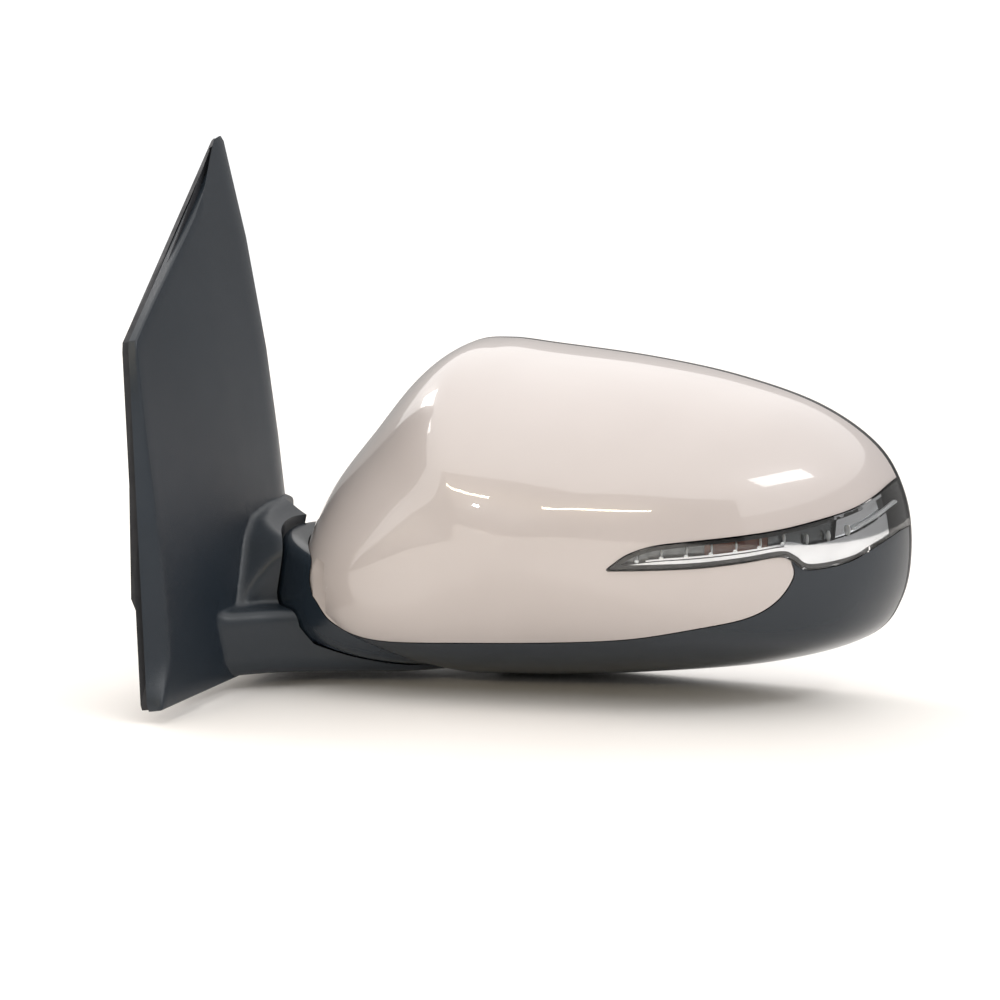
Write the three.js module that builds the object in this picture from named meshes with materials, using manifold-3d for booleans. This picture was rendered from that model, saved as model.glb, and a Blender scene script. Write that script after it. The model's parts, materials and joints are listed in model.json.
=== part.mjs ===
// Left door mirror of a passenger car: a folding head on a sail-mounted foot, with a turn
// signal in the head and a glass that tilts about two axes on an electric actuator.
//
// Millimetres. +X points out from the door, +Y to the rear of the car, +Z up. The origin is
// the middle of the door face of the foot. Every name in ALL_CAPS is a driving dimension.
import * as THREE from "three";
import { mergeVertices } from "three/addons/utils/BufferGeometryUtils.js";
import Module from "manifold-3d";

const wasm = await Module();
wasm.setup();

const RAD = Math.PI / 180;
const GAP = 0.35; // clearance between touching pieces
const PANEL_GAP = 0.5; // visible joint between outer shells
const WALL = 2.5; // moulded shells

// The head is a dome over a closed rim outline. Its crest is the foremost point.
const RIM_Y = 95;
const BEZEL_Y = 90; // the rear bezel is the last slice of the dome
const DOME_DEPTH = 105;
const CREST = { x: 142, z: -5 };
const RIM_OUTLINE = [
  [39, -20], [47, 8], [67, 36], [85, 58], [102, 70], [120, 72.5], [142, 71],
  [187, 67], [227, 60.5], [264, 49.5], [290, 33], [302, 13], [305.5, -10],
  [302, -33], [289, -50], [255, -62], [207, -70], [152, -75.5], [102, -75],
  [66, -63], [45, -42],
];

// The painted scalp ends on this line across the front of the dome, seen along Y.
const SCALP_EDGE = [
  [44, -15], [47, -22], [54, -27], [63, -34], [71, -43], [82, -48.5], [98, -50.5], [128, -49.5],
  [162, -48], [202, -44], [235, -37], [255, -32], [266, -25], [272, -15], [271, -7],
];
// The lamp is a long blade from its tip on the scalp to the outer end of the rim.
const LAMP_TOP = [
  [201, -11], [209, -5], [220, -1], [235, 1], [253, 3], [267, 5], [280, 8],
  [290, 11], [296, 15], [300, 21],
];
const LAMP_BOTTOM = [
  [201, -11.5], [219, -10.8], [237, -9.8], [254, -7.8], [267, -5.8], [272, -8],
  [277, -12], [290, -10.5], [299, -5], [304, -1],
];

// The head turns on the foot about an axis that leans out from the door.
const FOLD_AXIS = { x: 71.5, y: 48, z: -55, tilt: 12 * RAD };
const NECK_R = 48;
const BOWL_CLEARANCE = 1.2;

// The sail is a flat plate that leans in with the door glass.
const SAIL_X = 14;
const SAIL_LEAN = 8 * RAD;
const SAIL_THICK = 6;
const SAIL_OUTLINE = [
  [-79, -72], [-80, -69], [-75.5, -45], [-70.8, -20], [-62.4, 25], [-52.5, 78], [-51, 82], [57, 161.5],
  [60, 162.5], [62.5, 160], [72, 116], [77, 65], [77, 26], [75, -15], [72, -68], [70, -72],
];
const BELT_BOTTOM = -70;
const BELT_TOP = -41;
const BELT_OUTLINE = [
  [10, -46], [28, -42], [31, -28], [35, -14], [44, -2], [57, 6], [74, 13], [98, 23], [113, 36], [117, 48],
  [112, 60], [98, 70], [74, 76], [45, 75], [10, 72],
];

// The door plate of the foot and what goes through it, as [y, z].
const PLATE_THICK = 5;
const PLATE_OUTLINE = [
  [-42, -30], [-30, -47], [-20, -54], [42, -54], [52, -44], [52, 36], [42, 46], [-8, 46], [-22, 38], [-42, 16],
];
const INSERTS = [[-28, -26], [36, 38], [42, -42]];
const BASE_SCREWS = [[-16, 30], [-22, -44], [6, 37]];
const CABLE_HOLE = [10, -30];

const FOLD_SCREWS = [[-4, 12], [12, 6], [41, 12]]; // in the fold unit's frame, as [x, z]
const ACTUATOR_SCREWS = [[140, 30], [140, -36], [232, -36]];
// The glass turns about one point on a two-axis gimbal.
const PIVOT = { x: 186, y: 72, z: -3 };
const LEVER = 26; // from the pivot to each jack screw
const SCREW_UP = { x: PIVOT.x, z: PIVOT.z + LEVER };
const SCREW_SIDE = { x: PIVOT.x + LEVER, z: PIVOT.z };
const GLASS_EDGE = [
  [93, -30], [87, 0], [92, 26], [105, 44], [125, 54.5], [150, 56.5], [190, 53], [228, 46],
  [258, 35], [278, 17], [286, -6], [284, -25], [272, -42], [246, -52], [205, -59],
  [160, -62], [124, -61], [104, -50],
];
const HOLDER_Y = 75.3; // front face of the glass holder at its edge
const GLASS_THICK = 2.2;
const GLASS_SAG = 3; // the mirror is slightly convex

const group = new THREE.Group();
const foldGroup = new THREE.Group();
foldGroup.position.set(FOLD_AXIS.x, FOLD_AXIS.y, FOLD_AXIS.z);
foldGroup.rotation.y = FOLD_AXIS.tilt;
foldGroup.updateMatrix();
const sailGroup = new THREE.Group();
sailGroup.position.set(SAIL_X, 0, 0);
sailGroup.rotation.y = -SAIL_LEAN;
sailGroup.updateMatrix();
group.add(foldGroup, sailGroup);

const material = (color, roughness, metalness = 0) =>
  new THREE.MeshStandardMaterial({ color, roughness, metalness });
const PAINT = material(0xd3c9c4, 0.15);
const BLACK = material(0x23272b, 0.55);
const RUBBER = material(0x14171a, 0.85);
const CASTING = material(0x9a9c9e, 0.5, 0.9);
const STEEL = material(0xb9bcc0, 0.3, 1);
const CHROME = material(0xe6e8ea, 0.06, 1);
const CLEAR = material(0xe9eef2, 0.05);
const WHITE = material(0xd9d6cc, 0.5);
const BOARD = material(0x1f5a3a, 0.6);
const AMBER = material(0xe8962e, 0.35);
const MIRROR = material(0xc8d2dc, 0.03, 1);
const FOIL = material(0x4a4a4c, 0.6);

// ---------------------------------------------------------------- solids and booleans

function solid(geometry, matrix) {
  const g = (geometry.index ? geometry.toNonIndexed() : geometry.clone());
  for (const name of Object.keys(g.attributes)) if (name !== "position") g.deleteAttribute(name);
  if (matrix) g.applyMatrix4(matrix);
  const merged = mergeVertices(g, 1e-3);
  return new wasm.Manifold(new wasm.Mesh({
    numProp: 3,
    vertProperties: merged.attributes.position.array,
    triVerts: new Uint32Array(merged.index.array),
  }));
}

function geometryOf(made) {
  const mesh = made.getMesh();
  const positions = new Float32Array(mesh.numVert * 3);
  for (let i = 0; i < mesh.numVert; i++) {
    const at = i * mesh.numProp;
    positions.set(mesh.vertProperties.subarray(at, at + 3), i * 3);
  }
  return new THREE.BufferGeometry()
    .setAttribute("position", new THREE.BufferAttribute(positions, 3))
    .setIndex(new THREE.BufferAttribute(mesh.triVerts, 1));
}

function part(name, shape, look, parent = group) {
  const geometry = shape.isBufferGeometry ? shape : geometryOf(shape);
  const mesh = new THREE.Mesh(geometry, look);
  mesh.name = name;
  parent.add(mesh);
  return mesh;
}

const union = (first, ...rest) => rest.reduce((sum, s) => sum.add(s), first);
const minus = (first, ...rest) => rest.reduce((left, s) => left.subtract(s), first);

const box = (x0, x1, y0, y1, z0, z1) =>
  new THREE.BoxGeometry(x1 - x0, y1 - y0, z1 - z0)
    .translate((x0 + x1) / 2, (y0 + y1) / 2, (z0 + z1) / 2);

// Rods along each axis, from a to b, centred on the other two coordinates.
const rodX = (y, z, r, a, b, sides = 14) =>
  new THREE.CylinderGeometry(r, r, b - a, sides).rotateZ(-90 * RAD).translate((a + b) / 2, y, z);
const rodY = (x, z, r, a, b, sides = 20) =>
  new THREE.CylinderGeometry(r, r, b - a, sides).translate(x, (a + b) / 2, z);
const rodZ = (x, y, r, a, b, sides = 20) =>
  new THREE.CylinderGeometry(r, r, b - a, sides).rotateX(90 * RAD).translate(x, y, (a + b) / 2);

// A [radius, height] profile turned about Z. One that is clear of the axis is closed first.
function turned(profile, sides = 32) {
  const points = profile.map(([r, h]) => new THREE.Vector2(r, h));
  if (profile[0][0] > 0) points.push(points[0].clone());
  return new THREE.LatheGeometry(points, sides).rotateX(90 * RAD);
}

// Closed surface through rings of equal length, capped by fans.
function loft(rings) {
  const count = rings[0].length;
  const vertices = rings.flat();
  const middle = (ring) => ring.reduce((sum, p) => sum.map((v, k) => v + p[k] / count), [0, 0, 0]);
  const first = vertices.push(middle(rings[0])) - 1;
  const last = vertices.push(middle(rings.at(-1))) - 1;
  const faces = [];
  const end = (rings.length - 1) * count;
  for (let j = 0; j < count; j++) {
    const k = (j + 1) % count;
    for (let i = 0; i < end; i += count) {
      faces.push(i + j, i + k, i + count + k, i + j, i + count + k, i + count + j);
    }
    faces.push(first, k, j, last, end + j, end + k);
  }
  const geometry = new THREE.BufferGeometry();
  geometry.setAttribute("position", new THREE.Float32BufferAttribute(vertices.flat(), 3));
  geometry.setIndex(faces);
  return facingOut(geometry);
}

// Turns every face round if the closed surface encloses a negative volume.
function facingOut(geometry) {
  const p = geometry.attributes.position;
  const index = geometry.index.array;
  const [a, b, c] = [new THREE.Vector3(), new THREE.Vector3(), new THREE.Vector3()];
  let volume = 0;
  for (let i = 0; i < index.length; i += 3) {
    a.fromBufferAttribute(p, index[i]);
    b.fromBufferAttribute(p, index[i + 1]);
    c.fromBufferAttribute(p, index[i + 2]);
    volume += a.dot(b.cross(c));
  }
  if (volume < 0) {
    for (let i = 0; i < index.length; i += 3) {
      [index[i + 1], index[i + 2]] = [index[i + 2], index[i + 1]];
    }
  }
  return geometry;
}

// An outline of [x, z] points made solid from y0 to y1.
function prism(outline, y0, y1) {
  const shape = new THREE.Shape(outline.map(([x, z]) => new THREE.Vector2(x, z)));
  return new THREE.ExtrudeGeometry(shape, { depth: y1 - y0, bevelEnabled: false })
    .rotateX(90 * RAD).translate(0, y1, 0);
}

// An outline of [y, z] points made solid from x0 to x1.
function plate(outline, x0, x1) {
  const shape = new THREE.Shape(outline.map(([y, z]) => new THREE.Vector2(y, z)));
  return new THREE.ExtrudeGeometry(shape, { depth: x1 - x0, bevelEnabled: false })
    .rotateX(90 * RAD).rotateZ(90 * RAD).translate(x0, 0, 0);
}

function roundedRect(u0, u1, v0, v1, r, steps = 3) {
  const corners = [[u1 - r, v1 - r, 0], [u0 + r, v1 - r, 90], [u0 + r, v0 + r, 180], [u1 - r, v0 + r, 270]];
  return corners.flatMap(([u, v, start]) =>
    Array.from({ length: steps + 1 }, (_, i) => {
      const a = (start + (90 * i) / steps) * RAD;
      return [u + r * Math.cos(a), v + r * Math.sin(a)];
    }));
}

const smooth = (points, count, closed = false) =>
  new THREE.CatmullRomCurve3(points.map(([a, b]) => new THREE.Vector3(a, b, 0)), closed, "catmullrom", 0.5)
    .getPoints(count).slice(0, closed ? count : count + 1).map((p) => [p.x, p.y]);

// Moves every point of a closed outline outwards.
function grown(outline, distance) {
  const area = outline.reduce((sum, [x, y], i) => {
    const [u, v] = outline[(i + 1) % outline.length];
    return sum + x * v - u * y;
  }, 0);
  const side = Math.sign(area) * distance;
  return outline.map(([x, y], i) => {
    const [px, py] = outline.at(i - 1);
    const [nx, ny] = outline[(i + 1) % outline.length];
    const before = Math.hypot(x - px, y - py);
    const after = Math.hypot(nx - x, ny - y);
    const u = (x - px) / before + (nx - x) / after;
    const v = (y - py) / before + (ny - y) / after;
    const length = Math.hypot(u, v);
    return [x + (v / length) * side, y - (u / length) * side];
  });
}

// ---------------------------------------------------------------- the head's dome

const rimPoints = smooth(RIM_OUTLINE, 420, true).map(([x, z]) => ({
  angle: Math.atan2(z - CREST.z, x - CREST.x),
  radius: Math.hypot(x - CREST.x, z - CREST.z),
})).sort((a, b) => a.angle - b.angle);

function rimRadius(angle) {
  const a = Math.atan2(Math.sin(angle), Math.cos(angle));
  const i = rimPoints.findIndex((p) => p.angle > a);
  const after = rimPoints[i < 0 ? 0 : i];
  const before = rimPoints.at(i < 0 ? -1 : i - 1);
  const span = (after.angle - before.angle + 4 * Math.PI) % (2 * Math.PI);
  const along = (a - before.angle + 4 * Math.PI) % (2 * Math.PI);
  return before.radius + ((after.radius - before.radius) * along) / span;
}

const swell = (angle, centre, width) => {
  const off = Math.atan2(Math.sin(angle - centre * RAD), Math.cos(angle - centre * RAD));
  return Math.exp(-((off / (width * RAD)) ** 2));
};

// Height of the dome over the rim plane, as a share of its depth. The section is fuller
// towards the neck and a little fuller at the top.
function domeHeight(share, angle) {
  const p = 2.15 + 1.3 * swell(angle, 212, 45) + 3 * swell(angle, 205, 20) + 0.3 * swell(angle, 90, 45);
  const q = 2.1 + 0.4 * swell(angle, 212, 60);
  return Math.max(0, 1 - share ** p) ** (1 / q);
}

function domePoint(x, z, inset = 0) {
  const angle = Math.atan2(z - CREST.z, x - CREST.x);
  const share = Math.min(1, Math.hypot(x - CREST.x, z - CREST.z) / (rimRadius(angle) - inset));
  return new THREE.Vector3(x, RIM_Y - (DOME_DEPTH - inset) * domeHeight(share, angle), z);
}

function domeNormal(x, z, inset) {
  const step = 0.5;
  const u = domePoint(x + step, z, inset).sub(domePoint(x - step, z, inset));
  const v = domePoint(x, z + step, inset).sub(domePoint(x, z - step, inset));
  return u.cross(v).normalize();
}

function dome(inset, rear = RIM_Y, sides = 36, steps = 8) {
  const rings = [];
  const ring = (share, y) => Array.from({ length: sides }, (_, j) => {
    const angle = (j / sides) * 2 * Math.PI;
    const r = share * (rimRadius(angle) - inset);
    const at = y ?? RIM_Y - (DOME_DEPTH - inset) * domeHeight(share, angle);
    return [CREST.x + r * Math.cos(angle), at, CREST.z + r * Math.sin(angle)];
  });
  for (let i = 1; i <= steps; i++) rings.push(ring(Math.sin(((i / steps) * Math.PI) / 2)));
  if (rear !== RIM_Y) rings.push(ring(1, rear));
  return solid(loft(rings));
}

const slab = (y0, y1) => solid(box(-60, 400, y0, y1, -200, 200));
const glassOutline = (grow) => grown(smooth(GLASS_EDGE, 26, true), grow);

// The neck is turned about the fold axis and sits in the bowl of the foot.
const NECK_PROFILE = [
  [0, -5.1], [33.5, -5.1], [41.2, -2.6], [46, 3.6], [NECK_R, 12], [NECK_R, 31],
  [46.5, 34.6], [40, 36], [0, 36],
];
const neckInner = [
  [0, -2.6], [33, -2.6], [39.7, -0.4], [43.6, 5], [NECK_R - WALL, 13], [NECK_R - WALL, 30],
  [44.5, 32.3], [39, 33.5], [0, 33.5],
];
const bowlProfile = (extra) => [
  [0, -6 - extra], [34, -6 - extra], [42 + extra, -3.5 - extra], [47 + extra, 3],
  [NECK_R + BOWL_CLEARANCE + extra, 12], [NECK_R + BOWL_CLEARANCE + extra, 70], [0, 70],
];
const fold = foldGroup.matrix;

const placed = (shape, matrix) => solid(geometryOf(shape), matrix);

// Room that the dome leaves for the foot while it folds: round the neck on the door side,
// and under it. extra is the wall that closes the dome there.
const footRoom = (extra) => {
  const beside = solid(turned([[NECK_R - 0.3, -40], [120, -40], [120, 36 + extra], [NECK_R - 0.3, 36 + extra]], 32))
    .intersect(solid(box(-130, extra - 5, -130, 130, -60, 80)));
  const under = solid(turned([
    [0, -60], [76 + extra, -60], [76 + extra, -22], [50.6 + extra, -6 + extra / 2], [46 + extra, extra - 0.5],
    [0, extra - 0.5],
  ], 32));
  const swept = solid(turned([
    [NECK_R + 0.7 - extra, 20], [120, 20], [120, 72 + extra], [55 - extra, 72 + extra], [51 - extra, 48],
    [NECK_R + 0.7 - extra, 36],
  ], 32)).intersect(solid(box(-130, extra - 5, 24 - extra, 130, 0, 90)));
  const groove = solid(turned([
    [0, -60], [51.5 + extra, -60], [51.5 + extra, -6], [49.8 + extra, 9 + extra], [0, 9 + extra],
  ], 32)).intersect(solid(box(-130, 25 + extra, 20 - extra, 130, -60, 9 + extra)));
  return placed(union(beside, under, swept, groove), fold);
};

const scalpOutline = [...smooth(SCALP_EDGE, 44), [330, 5], [330, 110], [10, 110], [10, -15]];
const headOuter = union(dome(0).subtract(footRoom(0)),
  solid(turned(NECK_PROFILE, 32), fold));
const headInner = union(
  dome(WALL, RIM_Y + 10, 30, 7).subtract(footRoom(WALL)),
  solid(turned(neckInner, 28), fold),
  solid(turned([[0, -12], [25, -12], [25, 0], [0, 0]], 24), fold),
);
const headShell = minus(headOuter, headInner, slab(BEZEL_Y - PANEL_GAP, 140));


function heightAt(line, x) {
  const i = Math.max(1, line.findIndex(([u]) => u >= x));
  const [[x0, z0], [x1, z1]] = [line[i - 1], line[i]];
  return z0 + ((z1 - z0) * (x - x0)) / (x1 - x0);
}

// The lamp's blade, widened all round by grow. A narrower blade starts further from the tip.
const lampTop = [...smooth(LAMP_TOP, 26), [330, 36]];
const lampBottom = [...smooth(LAMP_BOTTOM, 26), [330, 8]];
function lampOutline(grow) {
  const along = Array.from({ length: 28 }, (_, i) => 201 + i * 4)
    .filter((x) => heightAt(lampTop, x) - heightAt(lampBottom, x) + 2 * grow > 0.4);
  const tip = grow > 0 ? [[along[0] - grow, -11.2]] : [];
  return [
    ...tip,
    ...along.map((x) => [x, heightAt(lampBottom, x) - grow]),
    ...along.reverse().map((x) => [x, heightAt(lampTop, x) + grow]),
  ];
}
// The painted cheek also covers the outboard half of the neck's front.
const cheek = (grow) => solid(turned([[0, -8], [NECK_R + 0.3 + grow, -8], [NECK_R + 0.3 + grow, 36.3 + grow],
  [0, 36.3 + grow]], 32), fold).intersect(
  solid(box(0, 400, -300, 300, -200, 200), new THREE.Matrix4().makeRotationZ(22 * RAD).setPosition(63.2 - grow, 0, 0)),
  ).intersect(slab(-60, 45 + grow));
const scalpTool = (grow) => solid(prism(grown(scalpOutline, grow), -40, 120)).intersect(union(dome(-grow), cheek(grow)));
const lampTool = (grow, y1 = 120) => solid(prism(lampOutline(grow), -40, y1));

function shells() {
  const painted = headShell.intersect(scalpTool(0)).subtract(lampTool(PANEL_GAP));
  part("scalp", painted.decompose().sort((a, b) => b.volume() - a.volume())[0], PAINT);
  const cover = minus(headShell, scalpTool(PANEL_GAP), lampTool(PANEL_GAP));
  const pieces = cover.decompose().sort((a, b) => b.volume() - a.volume());
  part("lower_cover", pieces[0], BLACK);
}

function bezel() {
  const back = headOuter.intersect(slab(BEZEL_Y, 140));
  const mouth = (y, extra) => glassOutline(4 + (y - 66) * 0.09 + extra).map(([x, z]) => [x, y, z]);
  const funnel = solid(loft([mouth(74, 2), mouth(92, 2)])).subtract(footRoom(WALL + GAP));
  const inside = solid(loft([mouth(60, 0), mouth(100, 0)]));
  part("glass_bezel", union(back, funnel).subtract(inside), BLACK);
}

// ---------------------------------------------------------------- turn signal

function lamp() {
  const layerOf = (outer, inner) => minus(dome(outer), dome(inner, RIM_Y + 10));
  const within = (outer, inner, grow, rear = 59) => layerOf(outer, inner).intersect(lampTool(grow, rear));
  part("lamp_lens", within(-0.8, 1.4, 0, BEZEL_Y - PANEL_GAP), CLEAR);
  const tray = minus(within(1.8, 15, -0.4), within(1, 13.4, -2));
  part("lamp_housing", tray.decompose().sort((a, b) => b.volume() - a.volume())[0], BLACK);
  const trimOutline = [
    [215, -10.2], [240, -7.2], [262, -3.6], [275, -3], [288, -1], [297, 4], [303, 9], [330, 9],
    [330, 0.8], ...smooth(LAMP_BOTTOM.slice(1), 18).reverse().map(([x, z]) => [x, z + 0.8]),
  ];
  const trim = layerOf(2.4, 4).intersect(solid(prism(trimOutline, -40, 58))).intersect(lampTool(-2.5, 58));
  part("lamp_trim", trim.decompose().sort((a, b) => b.volume() - a.volume())[0], CHROME);
  const layer = (outer, inner) => within(outer, inner, -2.6).decompose()
    .sort((a, b) => b.volume() - a.volume())[0];
  part("lamp_reflector", layer(8.4, 9.8), CHROME);
  part("lamp_board", layer(10.4, 12), BOARD);
  const ledAt = [[222, -5], [235, -4], [248, -3], [261, -1], [274, 0], [285, 3]];
  ledAt.forEach(([x, z], i) => {
    const out = domeNormal(x, z, 7.2);
    const chip = part(`led_${i + 1}`, new THREE.BoxGeometry(3, 3, 1.4), i < 4 ? AMBER : WHITE);
    chip.position.copy(domePoint(x, z, 7.2));
    chip.quaternion.setFromUnitVectors(new THREE.Vector3(0, 0, 1), out);
  });
}

// ---------------------------------------------------------------- foot

const foldMatrix = (geometry) => solid(geometry, fold);
const sailMatrix = sailGroup.matrix;

// The sail's front edges are sharp. Its rear edge falls away over a wide soft round.
function sail(x0, x1, grow) {
  const rings = [[x0, 0, 0], [x1 - 3.5, 0, 5], [x1 - 1, 0, 12], [x1, 1, 20]].map(([x, inset, soft]) =>
    grown(SAIL_OUTLINE, grow - inset).map(([y, z]) => {
      const rear = THREE.MathUtils.smoothstep(y, 10, 75);
      const front = 1 - THREE.MathUtils.smoothstep(y, -80, 25);
      const thin = 0.55 * front * THREE.MathUtils.smoothstep(z, -60, 110);
      const slant = 12 * front * (1 - THREE.MathUtils.smoothstep(z, -50, 110)) *
        THREE.MathUtils.smoothstep(z, -78, -48) * Math.max(0, x / SAIL_THICK);
      return [x > 0 ? x * (1 - thin) : x, y - rear * soft + slant, z];
    }));
  return solid(loft(rings), sailMatrix);
}

function belt(inset, x0) {
  const layer = (z, shrink) => grown(BELT_OUTLINE, -shrink - inset)
    .map(([x, y]) => [x < 15 ? x0 : x, y, z]);
  return solid(loft([
    layer(BELT_BOTTOM + inset, 5), layer(BELT_BOTTOM + 2 + inset, 2), layer(BELT_BOTTOM + 7, 0),
    layer(BELT_TOP - 3, 0), layer(BELT_TOP - inset, 2.5),
  ]));
}

function saddle(inset, x0) {
  const section = (x, y0, y1, z1) =>
    roundedRect(y0 + inset, y1 - inset, BELT_TOP - 20, z1 - inset, 8).map(([y, z]) => [x, y, z]);
  return solid(loft([
    section(x0, -20, 73, 6), section(20, -17, 72.5, 4), section(26, -4, 71.5, -3), section(33, 9, 69, -9),
    section(44, 16, 66, -12.8), section(70, 18, 66, -14),
  ]));
}

function foot() {
  const bowl = foldMatrix(turned(bowlProfile(0), 32));
  const bowlSkin = foldMatrix(turned(bowlProfile(WALL), 28));
  const behindSail = solid(box(-200, 2, -200, 200, -200, 200), sailMatrix);
  const headSide = placed(
    solid(turned([[43, -3.4], [90, -3.4], [90, 80], [43, 80]], 32))
      .add(solid(turned([[50.2, -60], [90, -60], [90, 10], [50.2, 10]], 32)))
      .intersect(solid(box(-8, 130, -130, 130, -60, 90))), fold);
  // Room behind the neck for the rim of the head when it is folded.
  const foldRoom = (extra) => placed(solid(turned([
    [46.4 - extra, 1 - extra], [50.3 - extra, -7.2 - extra], [78, -25 - extra], [90, -25 - extra], [90, 80],
    [46.4 - extra, 80],
  ], 32)).intersect(solid(box(-60, 130, 12 - extra, 130, -40, 80))), fold);
  const arm = minus(union(belt(0, 8), saddle(0, 8)), bowl, behindSail, headSide, foldRoom(0));
  const armInside = minus(union(belt(WALL, -20), saddle(WALL, -20)), bowlSkin, foldRoom(WALL));
  const drop = foldMatrix(turned([[0, -30], [30.8, -30], [30.8, 0], [0, 0]], 24));
  const dropLow = minus(drop, solid(box(-60, 200, -100, 140, -200, BELT_BOTTOM + WALL)));
  const outside = union(sail(0, SAIL_THICK, 0), arm);
  const bosses = BASE_SCREWS.map(([y, z]) => solid(rodX(y, z, 4.6, 2, 60, 10)).intersect(outside)
    .add(solid(rodX(y, z, 4.6, PLATE_THICK + GAP, 16 - 0.14 * z, 10))));
  const bores = BASE_SCREWS.map(([y, z]) => solid(rodX(y, z, 2, 0, 15.5 - 0.14 * z, 8)));
  const skin = minus(sail(0, SAIL_THICK, 0), sail(-6, SAIL_THICK - WALL, -WALL));
  const plateRoom = solid(box(-20, PLATE_THICK + GAP, -200, 200, -200, 200));
  const shell = minus(union(skin, arm), armInside, dropLow);
  part("base_cover", minus(union(shell, ...bosses), ...bores, plateRoom.intersect(
    solid(plate(roundedRect(-52, 62, -62, 54, 8), -20, PLATE_THICK + GAP)))), BLACK);

  // Rubber lip round the back of the sail, with a foam pad that fills the hollow behind it.
  const lip = minus(sail(-3.4, SAIL_THICK, -0.8), solid(plate(grown(SAIL_OUTLINE, 30), -GAP, 40), sailMatrix));
  const hollow = sail(-20, SAIL_THICK - WALL - GAP, -WALL - 1.2);
  const byTheSail = solid(box(-3.4, 60, -200, 200, -200, 200), sailMatrix);
  const byThePlate = solid(plate(grown(PLATE_OUTLINE, 9), PLATE_THICK + GAP, 40));
  const pad = hollow.intersect(byTheSail.add(byThePlate));
  const foam = minus(union(lip, pad), ...frameRoom()).decompose().sort((a, b) => b.volume() - a.volume());
  part("sail_seal", foam[0], RUBBER);
}

// Room that the foam behind the sail leaves for the frame, its bosses and the hollow of the arm.
function frameRoom() {
  return [
    solid(plate(grown(PLATE_OUTLINE, 6), -40, PLATE_THICK + GAP)),
    union(belt(-1.5, -20), saddle(-0.8, -20)),
    solid(box(8, 40, -3, 80, -80, -3.5)),
    solid(box(-10, 27, 22, 64, -90, -18)),
    ...INSERTS.map(([y, z]) => solid(rodX(y, z, 8.5, -10, 11.5, 14))),
    ...BASE_SCREWS.map(([y, z]) => solid(rodX(y, z, 5, -10, 40, 10))),
    solid(rodX(...CABLE_HOLE, 14, -10, 40, 18)),
  ];
}

function doorPlate() {
  let frame = solid(plate(PLATE_OUTLINE, 0, PLATE_THICK));
  for (const [y, z] of INSERTS) frame = frame.add(solid(rodX(y, z, 8, 1, 11, 14)));
  // Spine from the plate to the round pad under the fold axis.
  const spine = union(
    solid(box(4.5, 24, 26, 57, -60, -22)),
    solid(box(4.5, 60, 30, 57, -66, -58)),
    foldMatrix(turned([[0, -20], [29.8, -20], [29.8, -6.6], [0, -6.6]], 24)),
  );
  const lowest = solid(box(-60, 200, -100, 140, -200, BELT_BOTTOM + WALL + GAP));
  const bowlRoom = foldMatrix(turned([
    [0, -6.6], [29.8, -6.6], [30.6, -10], [44 + WALL, -7 - WALL], [50 + WALL, 3], [51.5 + WALL, 12],
    [51.5 + WALL, 80], [0, 80],
  ], 24));
  frame = frame.add(minus(spine, lowest, bowlRoom));
  const holes = [
    ...INSERTS.map(([y, z]) => solid(rodX(y, z, 5.4, -5, 30, 14))),
    ...BASE_SCREWS.map(([y, z]) => solid(rodX(y, z, 2.2, -5, 12, 8))),
    ...BASE_SCREWS.map(([y, z]) => solid(rodX(y, z, 4.6, -5, 3, 12))),
    solid(rodX(...CABLE_HOLE, 11.4, -5, 12, 18)),
    foldMatrix(turned([[0, -40], [9.3, -40], [9.3, 10], [0, 10]], 24)),
  ];
  part("base_frame", minus(frame, ...holes), CASTING);
  INSERTS.forEach(([y, z], i) => {
    const bush = minus(solid(rodX(y, z, 5, 0, 10.5, 14)), solid(rodX(y, z, 2.6, -2, 20, 10)));
    part(`thread_insert_${i + 1}`, bush, STEEL);
  });
  BASE_SCREWS.forEach(([y, z], i) => {
    const screw = union(solid(rodX(y, z, 4, 0.4, 2.6, 10)), solid(rodX(y, z, 1.6, 2, 14 - 0.14 * z, 8)));
    part(`base_screw_${i + 1}`, screw, STEEL);
  });
  const foam = minus(solid(plate(grown(PLATE_OUTLINE, 3.5), -1.5, 4)), solid(plate(grown(PLATE_OUTLINE, GAP), -9, 9)));
  part("mount_gasket", foam, RUBBER);
  const [cy, cz] = CABLE_HOLE;
  const grommet = minus(
    union(solid(rodX(cy, cz, 10.8, -1.5, 9, 18)), solid(rodX(cy, cz, 13.5, -2.4, -0.4, 18))),
    solid(rodX(cy, cz, 7, -9, 20, 16)));
  part("cable_grommet", grommet, RUBBER);
}

// ---------------------------------------------------------------- fold unit, about the fold axis

function toothed(teeth, outer, depth, bore, z0, z1) {
  const count = teeth * 4;
  const outline = Array.from({ length: count }, (_, i) => {
    const r = i % 4 < 2 ? outer : outer - depth;
    const a = ((i + 0.25 * (i % 2 ? -1 : 1)) / count) * 2 * Math.PI;
    return new THREE.Vector2(r * Math.cos(a), r * Math.sin(a));
  });
  const shape = new THREE.Shape(outline);
  shape.holes.push(new THREE.Path().absarc(0, 0, bore, 0, 2 * Math.PI, true));
  return new THREE.ExtrudeGeometry(shape, { depth: z1 - z0, bevelEnabled: false, curveSegments: 8 })
    .translate(0, 0, z0);
}

// A worm along Z whose single thread turns once in each pitch.
function worm(core, height, pitch, length, sides = 8) {
  const steps = Math.round((length / pitch) * 5);
  const rings = Array.from({ length: steps + 1 }, (_, i) => {
    const z = (i / steps) * length - length / 2;
    return Array.from({ length: sides }, (_, j) => {
      const a = (j / sides) * 2 * Math.PI;
      const r = core + height * (0.5 + 0.5 * Math.cos(a - (2 * Math.PI * z) / pitch));
      return [r * Math.cos(a), r * Math.sin(a), z];
    });
  });
  return loft(rings);
}

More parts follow.
